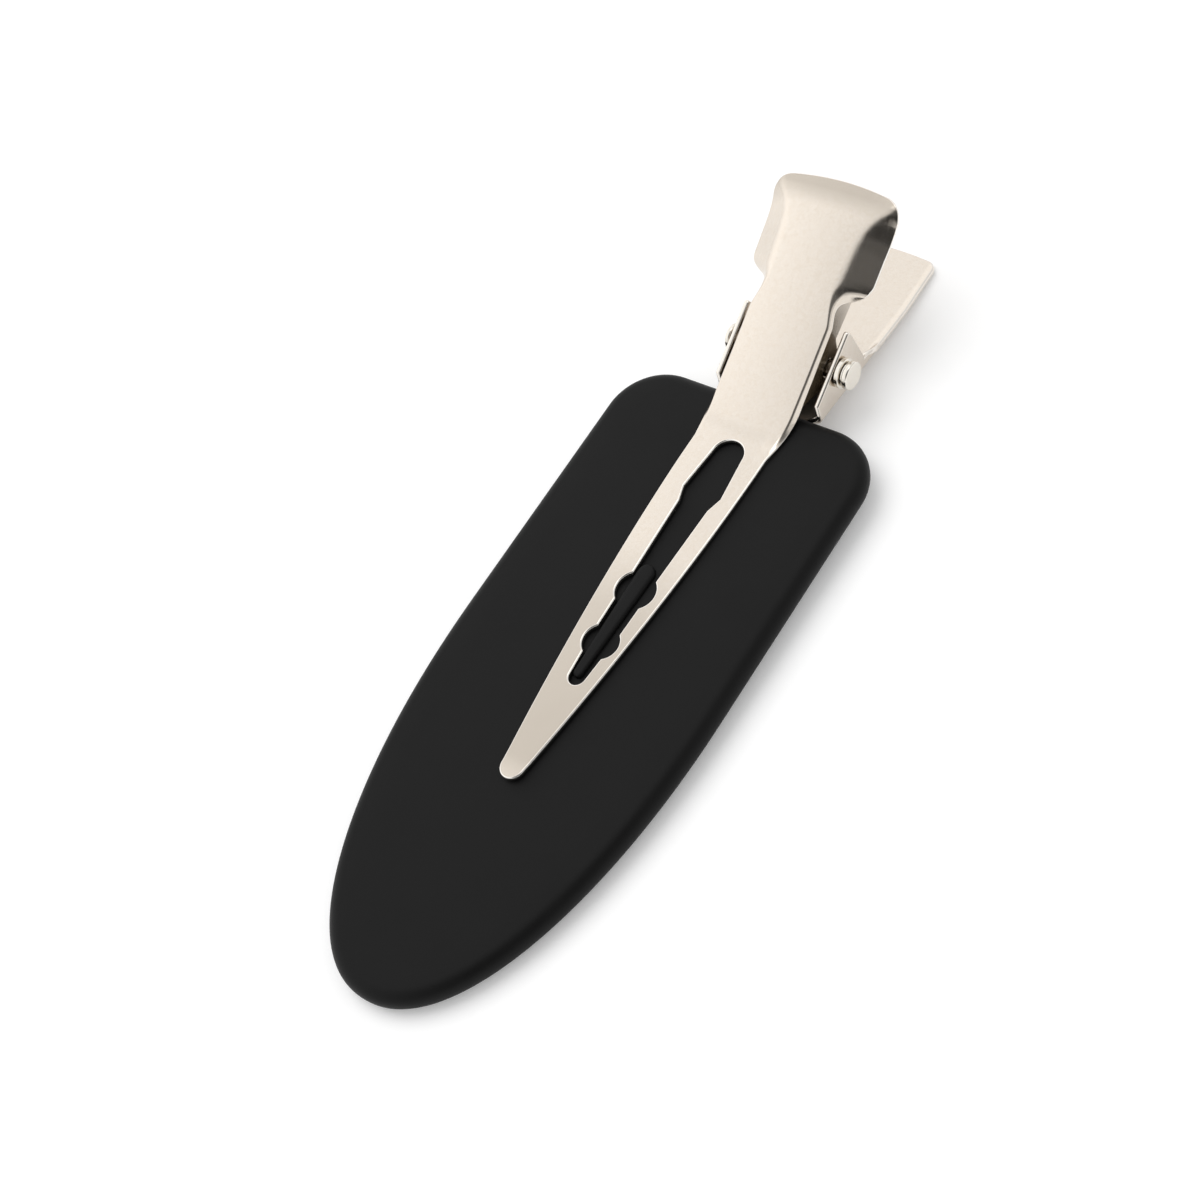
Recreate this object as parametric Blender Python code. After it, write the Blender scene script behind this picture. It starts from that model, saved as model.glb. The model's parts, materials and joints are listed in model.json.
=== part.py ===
"""Flat hair clip: a sprung steel clip whose lower jaw is pushed into a flat black plate.

The clip frame has its origin on the plate's top surface, in the middle of the plate's rear edge: +X across
the clip, +Y from the plate's tip towards the thumb end, +Z up from the plate. At the end the whole clip is
tilted about X until the plate's tip and the thumb tab's end stand on z = 0. All lengths are in metres.
"""
import math

import bpy
import numpy as np

# Sheet, wire and the gaps between pieces
SHEET = 0.00045
SEAT_GAP = 0.0003
RUN_GAP = 0.0001
OVERRUN = 0.001
WELD_INSET = 0.00003
OUTLINE_DIGITS = 8

# Black plate
PLATE_LENGTH = 0.0543
PLATE_WIDTH = 0.024
PLATE_THICKNESS = 0.0022
TIP_LENGTH = 0.0298
TIP_LENGTH_POWER = 2.1
TIP_WIDTH_POWER = 2.13
CORNER_RADIUS = 0.0047
TIP_STEPS = 44
CORNER_STEPS = 9
RIM_STEPS = 6

# Place of the clip on the plate: its middle plane lies this far right of the plate's
CLIP_OFFSET = 0.0006

# Rib on the plate that stands in the prong's slot
RIB_START = -0.0164
RIB_END = -0.0268
RIB_WIDTH = 0.0017
RIB_END_WIDTH = 0.0008
RIB_HEIGHT = 0.00045

# Pivot
PIVOT_Y = 0.0040
PIVOT_Z = 0.0009
PIN_RADIUS = 0.0007
ROUND_STEPS = 24

# Upper jaw: prong, body and thumb pad
PRONG_TIP = -0.0360
PRONG_TIP_RADIUS = 0.0011
PRONG_HEEL = -0.0055
PRONG_WIDTH = 0.0068
PRONG_TIP_WIDTH = 0.0021
PRONG_TAPER_POWER = 1.75
LEVER_ANGLE = math.atan(0.45)
LEVER_BASE = 0.0018
LEVER_BEND_RADIUS = 0.0075
BODY_FRONT = -0.0008
BODY_REAR = 0.0054
BODY_WIDTH = 0.0074
SIDE_BEND_RADIUS = 0.0007
SIDE_STUB = 0.00035
LIP_STUB = 0.0005
NECK = 0.0063
NECK_FLAT = 0.0031
NECK_BEND = 0.00075
NECK_SIDE = 0.00015
NECK_ANGLE = math.radians(50)
WING_START = 0.0091
PAD_FLAT = 0.0032
PAD_BEND = 0.0016
PAD_SIDE = 0.00098
PAD_ANGLE = math.radians(38)
PAD_END = 0.01538
PAD_CORNER_RADIUS = 0.0021
PAD_END_BULGE = 0.0003
PAD_FACET_LENGTH = 0.0019
PAD_FACET_ANGLE = math.radians(14)

# Slot in the prong: half widths at the places that they belong to
SLOT_TOP = -0.0044
SLOT_TOP_HALF = 0.0013
SLOT_SHOULDER = -0.0094
SLOT_SHOULDER_HALF = 0.0017
SLOT_WAIST = -0.0107
SLOT_WAIST_HALF = 0.0013
NOTCH_ONE = -0.0188
NOTCH_ONE_RADIUS = 0.00145
NOTCH_TWO = -0.0235
NOTCH_TWO_RADIUS = 0.00128
SLOT_MIDDLE_HALF = 0.00106
SLOT_LOW_HALF = 0.00088
SLOT_END = -0.0273
SLOT_END_HALF = 0.00062

# Upper jaw's flanges, which turn on the pin
FLANGE_FRONT = -0.0003
FLANGE_REAR = 0.0096
FLANGE_FRONT_DROP = 0.0007
FLANGE_REAR_DROP = 0.0035
FLANGE_LOBE_RADIUS = 0.00165
FLANGE_REAR_WIDTH = 0.0009
FLANGE_TOP_DEPTH = 0.0008

# Lower jaw: tongue, floor, ears and thumb tab
TONGUE_TIP = -0.0350
FLOOR_ANGLE = math.atan(0.12)
FLOOR_START = -0.0001
CHANNEL_START = 0.0007
JAW_WIDTH = 0.0097
EAR_FRONT = 0.0003
EAR_FRONT_TOP = 0.00056
EAR_PEAK_Y = 0.00625
EAR_PEAK_Z = 0.0031
EAR_REAR = 0.0069
EAR_PEAK_RADIUS = 0.0004
EAR_CORNER_RADIUS = 0.00015
LIP_END = 0.0095
TAB_END = 0.0185
TAB_WIDTH = 0.0097
TAB_END_WIDTH = 0.0090
TAB_MIDDLE = 0.0130
TAB_CORNER_RADIUS = 0.0011
TAB_END_BULGE = 0.00025
TAB_EDGE = 0.0008
TAB_EDGE_ANGLE = math.radians(14)

# Pin heads and washer
PIN_HEAD_RADIUS = 0.0012
PIN_HEAD_THICKNESS = 0.0007
PEENED_RADIUS = 0.00123
PEENED_THICKNESS = 0.0004
PIN_SHOULDER_RADIUS = 0.00105
PIN_SHOULDER_LENGTH = 0.00015
HEAD_ROUND = 0.00015
WASHER_RADIUS = 0.0012
WASHER_THICKNESS = 0.00028

# Torsion spring
WIRE = 0.0007
COIL_RADIUS = 0.0013
COIL_CLEARANCE = 0.0003
COIL_TURNS = 4
COIL_POINTS = 10
LEG_LENGTH = 0.0062
LEG_POINTS = 4
LOWER_LEG_ANGLE = math.radians(-12)

# Number of rows of each stretch of a jaw, and of columns of each part of its cross-section
TIP_ROWS = 6
LONG_ROWS = 9
SHORT_ROWS = 5
END_ROWS = 7
FLAT_COLUMNS = 2
BEND_COLUMNS = 4
SIDE_COLUMNS = 1

STEEL = ((0.80, 0.76, 0.71), 0.22, 1.0)
PIN_STEEL = ((0.74, 0.70, 0.65), 0.28, 1.0)
SPRING_STEEL = ((0.55, 0.52, 0.48), 0.35, 1.0)
BLACK_PLASTIC = ((0.017, 0.017, 0.018), 0.55, 0.0)
SMOOTH_ANGLE = math.radians(35)

# What follows from the sizes above
RIM = PLATE_THICKNESS / 2
PRONG_TOP = SEAT_GAP + SHEET
LEVER_RISE = math.tan(LEVER_ANGLE)
SIDE_BEND = SIDE_BEND_RADIUS * math.pi / 2
BODY_FLAT = BODY_WIDTH / 2 - SIDE_BEND_RADIUS
TONGUE_BOTTOM = -PLATE_THICKNESS / 2 - SHEET / 2
JAW_FLAT = JAW_WIDTH / 2 - SIDE_BEND_RADIUS
EAR_INSIDE = JAW_WIDTH / 2 - SHEET
FLOOR_FALL = math.tan(FLOOR_ANGLE)


def clear_scene():
    for obj in list(bpy.data.objects):
        bpy.data.objects.remove(obj)


def finish(name, look):
    """A metal or plastic finish from its colour, roughness and metallic value."""
    colour, roughness, metallic = look
    material = bpy.data.materials.new(name)
    material.use_nodes = True
    shader = material.node_tree.nodes["Principled BSDF"]
    shader.inputs["Base Color"].default_value = (*colour, 1)
    shader.inputs["Roughness"].default_value = roughness
    shader.inputs["Metallic"].default_value = metallic
    return material


def place(obj, parent, location=(0, 0, 0)):
    bpy.context.scene.collection.objects.link(obj)
    obj.parent = parent
    obj.location = location
    return obj


def empty(name, parent, location=(0, 0, 0)):
    return place(bpy.data.objects.new(name, None), parent, location)


def solid(name, points, faces, parent, location, material=None):
    """A mesh object; its points are given in the parent's frame and kept relative to location."""
    mesh = bpy.data.meshes.new(name)
    mesh.from_pydata((np.asarray(points) - np.asarray(location)).tolist(), [], faces)
    mesh.shade_smooth()
    mesh.set_sharp_from_angle(angle=SMOOTH_ANGLE)
    obj = place(bpy.data.objects.new(name, mesh), parent, location)
    if material:
        mesh.materials.append(material)
    return obj


def helper(obj):
    """A shape that only cuts or joins another."""
    obj.hide_render = True
    obj.display_type = "WIRE"
    return obj


def combine(obj, other, operation):
    modifier = obj.modifiers.new(other.name, "BOOLEAN")
    modifier.operation = operation
    modifier.object = helper(other)


def rounded(corners):
    """An outline from corners (a, b, radius): each corner with a radius becomes an arc."""
    outline = []
    count = len(corners)
    for i, (a, b, radius) in enumerate(corners):
        corner = np.array([a, b])
        before = np.array(corners[i - 1][:2]) - corner
        after = np.array(corners[(i + 1) % count][:2]) - corner
        before /= np.linalg.norm(before)
        after /= np.linalg.norm(after)
        half = math.acos(np.clip(before @ after, -1, 1)) / 2
        if not radius:
            outline.append(corner)
            continue
        middle = (before + after) / np.linalg.norm(before + after)
        centre = corner + middle * radius / math.sin(half)
        start = corner + before * radius / math.tan(half) - centre
        end = corner + after * radius / math.tan(half) - centre
        sweep = math.atan2(start[0] * end[1] - start[1] * end[0], start @ end)
        steps = max(2, round(abs(sweep) / math.radians(18)))
        for k in range(steps + 1):
            turn = sweep * k / steps
            c, s = math.cos(turn), math.sin(turn)
            outline.append(centre + [c * start[0] - s * start[1], s * start[0] + c * start[1]])
    return np.array(outline)


def slab(name, outline, low, high, axis, parent, location, material=None):
    """An outline in the two other axes, extruded from low to high along axis 0 (X) or 2 (Z)."""
    count = len(outline)
    outline = np.round(outline, OUTLINE_DIGITS)
    points = np.concatenate([np.insert(outline, axis, low, axis=1), np.insert(outline, axis, high, axis=1)])
    area = np.sum(outline[:, 0] * np.roll(outline[:, 1], -1) - np.roll(outline[:, 0], -1) * outline[:, 1])
    ring = list(range(count))
    if area < 0:
        ring.reverse()
    faces = [ring[::-1], [count + i for i in ring]]
    for i in range(count):
        j = (i + 1) % count
        faces.append([ring[i], ring[j], count + ring[j], count + ring[i]])
    return solid(name, points, faces, parent, location, material)


def turned(name, profile, parent, location, material):
    """A round piece about X from (x, radius) pairs, the first and last on the axis or on a shared bore."""
    turns = np.arange(ROUND_STEPS) * 2 * math.pi / ROUND_STEPS
    bored = profile[0][1] > 0
    points = []
    for x, radius in profile:
        points += [(x, radius * math.cos(t), radius * math.sin(t)) for t in turns]
    rows = len(profile)
    faces = []
    for r in range(rows if bored else rows - 1):
        a, b = r * ROUND_STEPS, (r + 1) % rows * ROUND_STEPS
        for k in range(ROUND_STEPS):
            m = (k + 1) % ROUND_STEPS
            faces.append([a + k, a + m, b + m, b + k])
    if not bored:
        first = len(points)
        points += [(profile[0][0], 0, 0), (profile[-1][0], 0, 0)]
        ring = np.arange(ROUND_STEPS)
        last = (rows - 2) * ROUND_STEPS
        faces = faces[ROUND_STEPS:(rows - 2) * ROUND_STEPS]
        faces += [[first, ROUND_STEPS + (k + 1) % ROUND_STEPS, ROUND_STEPS + k] for k in ring]
        faces += [[first + 1, last + k, last + (k + 1) % ROUND_STEPS] for k in ring]
        keep = sorted({i for face in faces for i in face})
        place_of = {int(old): new for new, old in enumerate(keep)}
        points = [points[i] for i in keep]
        faces = [[place_of[int(i)] for i in face] for face in faces]
    points = np.array(points) + location
    return solid(name, points, faces, parent, location, material)


def ease(y, stations, values):
    """Values at stations along Y, joined by smooth steps."""
    i = int(np.clip(np.searchsorted(stations, y, side="right") - 1, 0, len(stations) - 2))
    t = float(np.clip((y - stations[i]) / (stations[i + 1] - stations[i]), 0, 1))
    t = t * t * (3 - 2 * t)
    return (1 - t) * np.asarray(values[i], float) + t * np.asarray(values[i + 1], float)


def cross_section(flat, bend, side, angle):
    """Half of a sheet's cross-section as (across, depth, lean): flat, then a bend, then a straight side."""
    out = [(flat * k / FLAT_COLUMNS, 0, 0) for k in range(FLAT_COLUMNS + 1)]
    for k in range(1, BEND_COLUMNS + 1):
        lean = angle * k / BEND_COLUMNS
        if angle:
            radius = bend / angle
            out.append((flat + radius * math.sin(lean), radius * (1 - math.cos(lean)), lean))
        else:
            out.append((flat + bend * k / BEND_COLUMNS, 0, 0))
    across, depth, lean = out[-1]
    for k in range(1, SIDE_COLUMNS + 1):
        length = side * k / SIDE_COLUMNS
        out.append((across + length * math.cos(lean), depth + length * math.sin(lean), lean))
    return np.array(out)


def bent_sheet(name, rows, parent, location, material):
    """A closed sheet from rows (y, z, slope, half section, bulge, up) of its outer surface.

    Each row is a half cross-section, mirrored, square to a path that climbs at the slope angle. The outer
    surface faces up on the upper jaw (up = 1) and down on the lower one (up = -1). A bulge moves the
    middle of an end row out along Y, so the end is slightly round and its edge stays level.
    """
    outer, inner = [], []
    for y, z, slope, section, bulge, up in rows:
        half = np.vstack([section[:0:-1] * [-1, 1, -1], section])
        across, depth, lean = half.T
        normal = np.array([-math.sin(slope), math.cos(slope)]) * up
        along = bulge * (1 - (across / np.abs(across).max()) ** 2)
        top = np.stack(
            [
                across,
                y + along - depth * normal[0],
                z - depth * normal[1],
            ],
            axis=1,
        )
        facing = np.stack([np.sin(lean), np.cos(lean) * normal[0], np.cos(lean) * normal[1]], axis=1)
        outer.append(top)
        inner.append(top - SHEET * facing)
    outer, inner = np.array(outer), np.array(inner)
    count, wide = outer.shape[:2]
    points = np.concatenate([outer.reshape(-1, 3), inner.reshape(-1, 3)])
    index = np.arange(count * wide).reshape(count, wide)
    under = index + count * wide
    faces = []
    for r in range(count - 1):
        for c in range(wide - 1):
            faces.append([index[r, c], index[r, c + 1], index[r + 1, c + 1], index[r + 1, c]])
            faces.append([under[r, c], under[r + 1, c], under[r + 1, c + 1], under[r, c + 1]])
        for c, turn in ((0, 1), (wide - 1, -1)):
            side = [index[r, c], index[r + 1, c], under[r + 1, c], under[r, c]]
            faces.append(side[::turn])
    for c in range(wide - 1):
        faces.append([index[0, c + 1], index[0, c], under[0, c], under[0, c + 1]])
        faces.append([index[-1, c], index[-1, c + 1], under[-1, c + 1], under[-1, c]])
    if rows[0][5] < 0:
        faces = [face[::-1] for face in faces]
    faces = [[int(i) for i in face] for face in faces]
    return solid(name, points, faces, parent, location, material)


def scaled(section, half_width):
    """The section drawn in until its edge is half_width from the middle."""
    return section * [half_width / section[-1, 0], half_width / section[-1, 0], 1]


def plate_outline():
    """The plate seen from above: a leaf-shaped tip, nearly parallel sides and a square, rounded rear end."""
    half = PLATE_WIDTH / 2
    start = TIP_LENGTH - PLATE_LENGTH
    turns = np.linspace(-math.pi / 2, math.pi / 2, TIP_STEPS + 1)
    side = np.sin(turns)
    x = half * np.sign(side) * np.abs(side) ** (2 / TIP_WIDTH_POWER)
    y = start - TIP_LENGTH * np.cos(turns) ** (2 / TIP_LENGTH_POWER)
    tip = np.stack([x, y], axis=1)
    quarter = np.linspace(0, math.pi / 2, CORNER_STEPS + 1)
    corner = CORNER_RADIUS * np.stack([np.cos(quarter) - 1, np.sin(quarter) - 1], axis=1)
    right = corner + [half, 0]
    left = (corner * [-1, 1])[::-1] + [-half, 0]
    return np.concatenate([tip, right, left])


def plate_body(parent, material):
    """The plate's solid: its outline with a half-round rim."""
    outline = plate_outline()
    along = np.roll(outline, -1, axis=0) - np.roll(outline, 1, axis=0)
    outward = np.stack([along[:, 1], -along[:, 0]], axis=1)
    outward /= np.linalg.norm(outward, axis=1)[:, None]
    count = len(outline)
    points, faces = [], []
    for turn in np.linspace(-math.pi / 2, math.pi / 2, RIM_STEPS + 1):
        ring = outline - outward * RIM * (1 - math.cos(turn))
        height = RIM * math.sin(turn) - RIM
        points.append(np.column_stack([ring, np.full(count, height)]))
    for r in range(RIM_STEPS):
        for i in range(count):
            j = (i + 1) % count
            low, high = r * count, (r + 1) * count
            faces.append([low + i, low + j, high + j, high + i])
    faces.append(list(range(count))[::-1])
    faces.append([RIM_STEPS * count + i for i in range(count)])
    return solid("plate", np.concatenate(points), faces, parent, (0, 0, 0), material)


def prong_half(y):
    """The prong's half width: it narrows ever faster towards the tip."""
    share = np.clip((PRONG_HEEL - y) / (PRONG_HEEL - PRONG_TIP - PRONG_TIP_RADIUS), 0, 1)
    return PRONG_WIDTH / 2 - (PRONG_WIDTH - PRONG_TIP_WIDTH) / 2 * share**PRONG_TAPER_POWER


def tongue_outline(grow, tip, end):
    """The tongue's outline, grown all round by grow for the pocket that takes it."""
    radius = PRONG_TIP_RADIUS + grow
    y = np.linspace(tip + PRONG_TIP_RADIUS, PRONG_HEEL, LONG_ROWS)
    shift = PRONG_TIP - tip
    side = np.column_stack([prong_half(y + shift) + grow, y])
    turns = np.linspace(0, math.pi, CORNER_STEPS + 2)[1:-1]
    round_tip = np.column_stack([-radius * np.cos(turns), y[0] - radius * np.sin(turns)])
    end_half = PRONG_WIDTH / 2 + grow
    ends = [[end_half, end], [-end_half, end]]
    return np.concatenate([round_tip, side, ends, side[::-1] * [-1, 1]])


def make_plate(parent, clip, material):
    """The black plate, with the pocket for the lower jaw's tongue and the rib that fills the slot."""
    plate = plate_body(parent, material)
    half, low = RIB_WIDTH / 2, RIB_END_WIDTH / 2
    high = np.linspace(0, math.pi, CORNER_STEPS)
    top = np.column_stack([half * np.cos(high), RIB_START - half + half * np.sin(high)])
    bottom = np.column_stack([-low * np.cos(high), RIB_END + low - low * np.sin(high)])
    rib = slab("plate_rib", np.concatenate([top, bottom]), -RIM / 2, RIB_HEIGHT, 2, clip, (0, 0, 0))
    combine(plate, rib, "UNION")
    pocket = tongue_outline(SEAT_GAP, TONGUE_TIP, OVERRUN)
    middle = -PLATE_THICKNESS / 2
    deep = SHEET / 2 + SEAT_GAP
    cutter = slab("plate_pocket", pocket, middle - deep, middle + deep, 2, clip, (0, 0, 0))
    combine(plate, cutter, "DIFFERENCE")
    return plate


def lever_path(y):
    """Height and slope of the upper jaw's outer surface: flat prong, bend, then the rising lever."""
    corner = (PRONG_TOP - LEVER_BASE) / LEVER_RISE
    tangent = LEVER_BEND_RADIUS * math.tan(LEVER_ANGLE / 2)
    start = corner - tangent
    end = corner + tangent * math.cos(LEVER_ANGLE)
    if y <= start:
        return PRONG_TOP, 0
    if y < end:
        slope = math.asin((y - start) / LEVER_BEND_RADIUS)
        return PRONG_TOP + LEVER_BEND_RADIUS * (1 - math.cos(slope)), slope
    facet = PAD_END - PAD_FACET_LENGTH
    if y <= facet:
        return LEVER_BASE + LEVER_RISE * y, LEVER_ANGLE
    slope = LEVER_ANGLE - PAD_FACET_ANGLE * (y - facet) / PAD_FACET_LENGTH
    middle = LEVER_ANGLE - PAD_FACET_ANGLE * (y - facet) / PAD_FACET_LENGTH / 2
    return LEVER_BASE + LEVER_RISE * facet + math.tan(middle) * (y - facet), slope


def lever_section(y):
    """The upper jaw's cross-section at y."""
    prong = prong_half(y)
    body = (BODY_FLAT, SIDE_BEND, SIDE_STUB, math.pi / 2)
    neck = (NECK_FLAT, NECK_BEND, NECK_SIDE, NECK_ANGLE)
    pad = (PAD_FLAT, PAD_BEND, PAD_SIDE, PAD_ANGLE)
    stub = prong - BODY_FLAT
    root = (BODY_FLAT, stub * SIDE_BEND / (SIDE_BEND + SIDE_STUB), stub * SIDE_STUB / (SIDE_BEND + SIDE_STUB), 0)
    if y < PRONG_HEEL:
        root = (prong * BODY_FLAT / (PRONG_WIDTH / 2), root[1], root[2], 0)
        flat = prong * BODY_FLAT / (PRONG_WIDTH / 2)
        rest = prong - flat
        bend = rest * SIDE_BEND / (SIDE_BEND + SIDE_STUB)
        return cross_section(flat, bend, rest - bend, 0)
    stations = (PRONG_HEEL, BODY_FRONT, BODY_REAR, NECK, WING_START, PAD_END)
    return cross_section(*ease(y, stations, (root, body, body, neck, pad, pad)))


def lever_rows():
    rows = []
    tip = PRONG_TIP + PRONG_TIP_RADIUS
    for turn in np.linspace(math.radians(8), math.pi / 2, TIP_ROWS):
        y = tip - PRONG_TIP_RADIUS * math.cos(turn)
        rows.append((y, PRONG_TOP, 0, scaled(lever_section(tip), prong_half(tip) * math.sin(turn)), 0, 1))
    corner = PAD_END - PAD_CORNER_RADIUS
    stops = (tip, PRONG_HEEL, BODY_FRONT, BODY_REAR, NECK, WING_START, corner)
    counts = (LONG_ROWS, SHORT_ROWS, SHORT_ROWS, SHORT_ROWS, SHORT_ROWS, SHORT_ROWS // 2)
    for start, end, count in zip(stops, stops[1:], counts):
        for y in np.linspace(start, end, count + 1)[1:]:
            rows.append((y, *lever_path(y), lever_section(y), 0, 1))
    full = lever_section(corner)
    for turn in np.linspace(0, math.radians(84), END_ROWS)[1:]:
        y = corner + PAD_CORNER_RADIUS * math.sin(turn)
        half = full[-1, 0] - PAD_CORNER_RADIUS * (1 - math.cos(turn))
        bulge = PAD_END_BULGE * math.sin(turn)
        rows.append((y, *lever_path(y), scaled(full, half), bulge, 1))
    return rows


def slot_outline():
    """The slot: a wide round-ended head, a waist, two round notches and a narrow round end."""
    quarter = np.linspace(math.pi / 2, 0, CORNER_STEPS)
    head = SLOT_TOP - SLOT_TOP_HALF
    foot = SLOT_END + SLOT_END_HALF
    right = [(SLOT_TOP_HALF * math.cos(t), head + SLOT_TOP_HALF * math.sin(t)) for t in quarter]
    right += [(SLOT_SHOULDER_HALF, SLOT_SHOULDER), (SLOT_WAIST_HALF, SLOT_WAIST)]
    for centre, radius, half in (
        (NOTCH_ONE, NOTCH_ONE_RADIUS, SLOT_MIDDLE_HALF),
        (NOTCH_TWO, NOTCH_TWO_RADIUS, SLOT_LOW_HALF),
    ):
        open_turn = math.acos(SLOT_MIDDLE_HALF / radius)
        close_turn = math.acos(half / radius)
        for t in np.linspace(open_turn, -close_turn, CORNER_STEPS):
            right.append((radius * math.cos(t), centre + radius * math.sin(t)))
    right += [(SLOT_END_HALF * math.cos(t), foot - SLOT_END_HALF * math.sin(t)) for t in quarter[::-1]]
    right = np.array(right)
    return np.concatenate([right, right[-2:0:-1] * [-1, 1]])


def flange_outline():
    """One flange of the upper jaw from the side, as (y, z): hung from the sheet, with a lobe round the pin."""
    def under(y, depth):
        z, slope = lever_path(y)
        return y + depth * math.sin(slope), z - depth * math.cos(slope)

    front = lever_path(FLANGE_FRONT)[0] - FLANGE_FRONT_DROP
    rear = lever_path(FLANGE_REAR)[0] - FLANGE_REAR_DROP
    lobe = FLANGE_LOBE_RADIUS
    low = [
        (PIVOT_Y + lobe * math.cos(t), PIVOT_Z + lobe * math.sin(t), 0)
        for t in np.radians(np.linspace(215, 350, CORNER_STEPS))
    ]
    shelf = PIVOT_Z + lobe * math.sin(math.radians(45))
    corners = [
        (FLANGE_REAR, rear + FLANGE_REAR_WIDTH, SHEET / 2),
        (*under(BODY_REAR - SHEET, FLANGE_TOP_DEPTH), 0),
        (*under(FLANGE_FRONT, FLANGE_TOP_DEPTH), 0),
        (FLANGE_FRONT, front, 0),
        *low,
        (PIVOT_Y + lobe + SHEET * 2, shelf, SHEET),
        (FLANGE_REAR, rear, SHEET / 2),
    ]
    return rounded(corners)


def make_upper_jaw(clip, pivot, material):
    jaw = bent_sheet("upper_jaw", lever_rows(), clip, pivot, material)
    outline = flange_outline()
    inner = BODY_WIDTH / 2 - SHEET + WELD_INSET
    outer = BODY_WIDTH / 2 - WELD_INSET
    slot = slab("prong_slot", slot_outline(), -OVERRUN, PRONG_TOP + OVERRUN, 2, clip, pivot)
    combine(jaw, slot, "DIFFERENCE")
    holes = pin_hole("flange_holes", BODY_WIDTH / 2 + SEAT_GAP, clip, pivot)
    for name, low, high in (("left_flange", -outer, -inner), ("right_flange", inner, outer)):
        flange = slab(name, outline, low, high, 0, clip, pivot)
        combine(flange, holes, "DIFFERENCE")
        combine(jaw, flange, "UNION")
    return jaw


def pin_hole(name, reach, clip, pivot):
    turns = np.arange(ROUND_STEPS) * 2 * math.pi / ROUND_STEPS
    radius = PIN_RADIUS + RUN_GAP
    ring = np.stack([PIVOT_Y + radius * np.cos(turns), PIVOT_Z + radius * np.sin(turns)], axis=1)
    return slab(name, ring, -reach, reach, 0, clip, pivot)


def floor_path(y):
    """Height and slope of the lower jaw's underside: level tongue, then the falling floor and tab."""
    if y <= FLOOR_START:
        return TONGUE_BOTTOM, 0
    return TONGUE_BOTTOM - FLOOR_FALL * (y - FLOOR_START), -FLOOR_ANGLE


def jaw_section(y):
    """The lower jaw's cross-section at y, from the floor's middle to its turned-up side."""
    jaw = (JAW_FLAT, SIDE_BEND, LIP_STUB, math.pi / 2)
    half = PRONG_WIDTH / 2
    share = (half - BODY_FLAT) / (SIDE_BEND + LIP_STUB)
    root = (BODY_FLAT, SIDE_BEND * share, LIP_STUB * share, 0)
    middle = (TAB_WIDTH / 2 - TAB_EDGE, TAB_EDGE / 2, TAB_EDGE / 2, TAB_EDGE_ANGLE)
    end = (TAB_END_WIDTH / 2 - TAB_EDGE, TAB_EDGE / 2, TAB_EDGE / 2, TAB_EDGE_ANGLE)
    stations = (FLOOR_START, CHANNEL_START, EAR_REAR, LIP_END, TAB_MIDDLE, TAB_END)
    return cross_section(*ease(y, stations, (root, jaw, jaw, middle, middle, end)))


def jaw_rows():
    rows = []
    tip = TONGUE_TIP + PRONG_TIP_RADIUS
    shift = PRONG_TIP - TONGUE_TIP

    def tongue(y):
        return scaled(jaw_section(FLOOR_START), prong_half(y + shift))

    for turn in np.linspace(math.radians(8), math.pi / 2, TIP_ROWS):
        y = tip - PRONG_TIP_RADIUS * math.cos(turn)
        rows.append((y, TONGUE_BOTTOM, 0, scaled(tongue(tip), prong_half(tip + shift) * math.sin(turn)), 0, -1))
    for y in np.linspace(tip, PRONG_HEEL, LONG_ROWS)[1:]:
        rows.append((y, TONGUE_BOTTOM, 0, tongue(y), 0, -1))
    corner = TAB_END - TAB_CORNER_RADIUS
    stops = (PRONG_HEEL, FLOOR_START, CHANNEL_START, EAR_REAR, LIP_END, TAB_MIDDLE, corner)
    counts = (2, SHORT_ROWS, SHORT_ROWS, SHORT_ROWS, SHORT_ROWS, SHORT_ROWS)
    for start, end, count in zip(stops, stops[1:], counts):
        for y in np.linspace(start, end, count + 1)[1:]:
            section = tongue(y) if y <= FLOOR_START else jaw_section(y)
            rows.append((y, *floor_path(y), section, 0, -1))
    full = jaw_section(corner)
    for turn in np.linspace(0, math.radians(80), TIP_ROWS)[1:]:
        y = corner + TAB_CORNER_RADIUS * math.sin(turn)
        half = full[-1, 0] - TAB_CORNER_RADIUS * (1 - math.cos(turn))
        rows.append((y, *floor_path(y), scaled(full, half), TAB_END_BULGE * math.sin(turn), -1))
    return rows


def ear_outline():
    """One ear of the lower jaw from the side, as (y, z)."""
    front, rear = EAR_FRONT + WELD_INSET, EAR_REAR - WELD_INSET
    height = SIDE_BEND_RADIUS + LIP_STUB / 2
    return rounded(
        [
            (front, floor_path(front)[0] + height, 0),
            (front, EAR_FRONT_TOP, EAR_CORNER_RADIUS),
            (EAR_PEAK_Y, EAR_PEAK_Z, EAR_PEAK_RADIUS),
            (rear, floor_path(rear)[0] + height, 0),
        ]
    )


def make_lower_jaw(clip, pivot, material):
    jaw = bent_sheet("lower_jaw", jaw_rows(), clip, (0, 0, 0), material)
    outline = ear_outline()
    inner, outer = EAR_INSIDE + WELD_INSET, JAW_WIDTH / 2 - WELD_INSET
    holes = pin_hole("ear_holes", JAW_WIDTH / 2 + SEAT_GAP, clip, (0, 0, 0))
    for name, low, high in (("left_ear", -outer, -inner), ("right_ear", inner, outer)):
        ear = slab(name, outline, low, high, 0, clip, (0, 0, 0))
        combine(ear, holes, "DIFFERENCE")
        combine(jaw, ear, "UNION")
    return jaw


def domed(start, end, radius):
    """A disc's profile from start to end with rounded rims, as (x, radius) pairs."""
    turns = np.radians((0, 30, 60, 90))
    inward = math.copysign(HEAD_ROUND, end - start)
    rim = [(start + inward * (1 - math.cos(t)), radius - HEAD_ROUND * (1 - math.sin(t))) for t in turns]
    return rim + [(start + end - x, r) for x, r in rim[::-1]]


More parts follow.
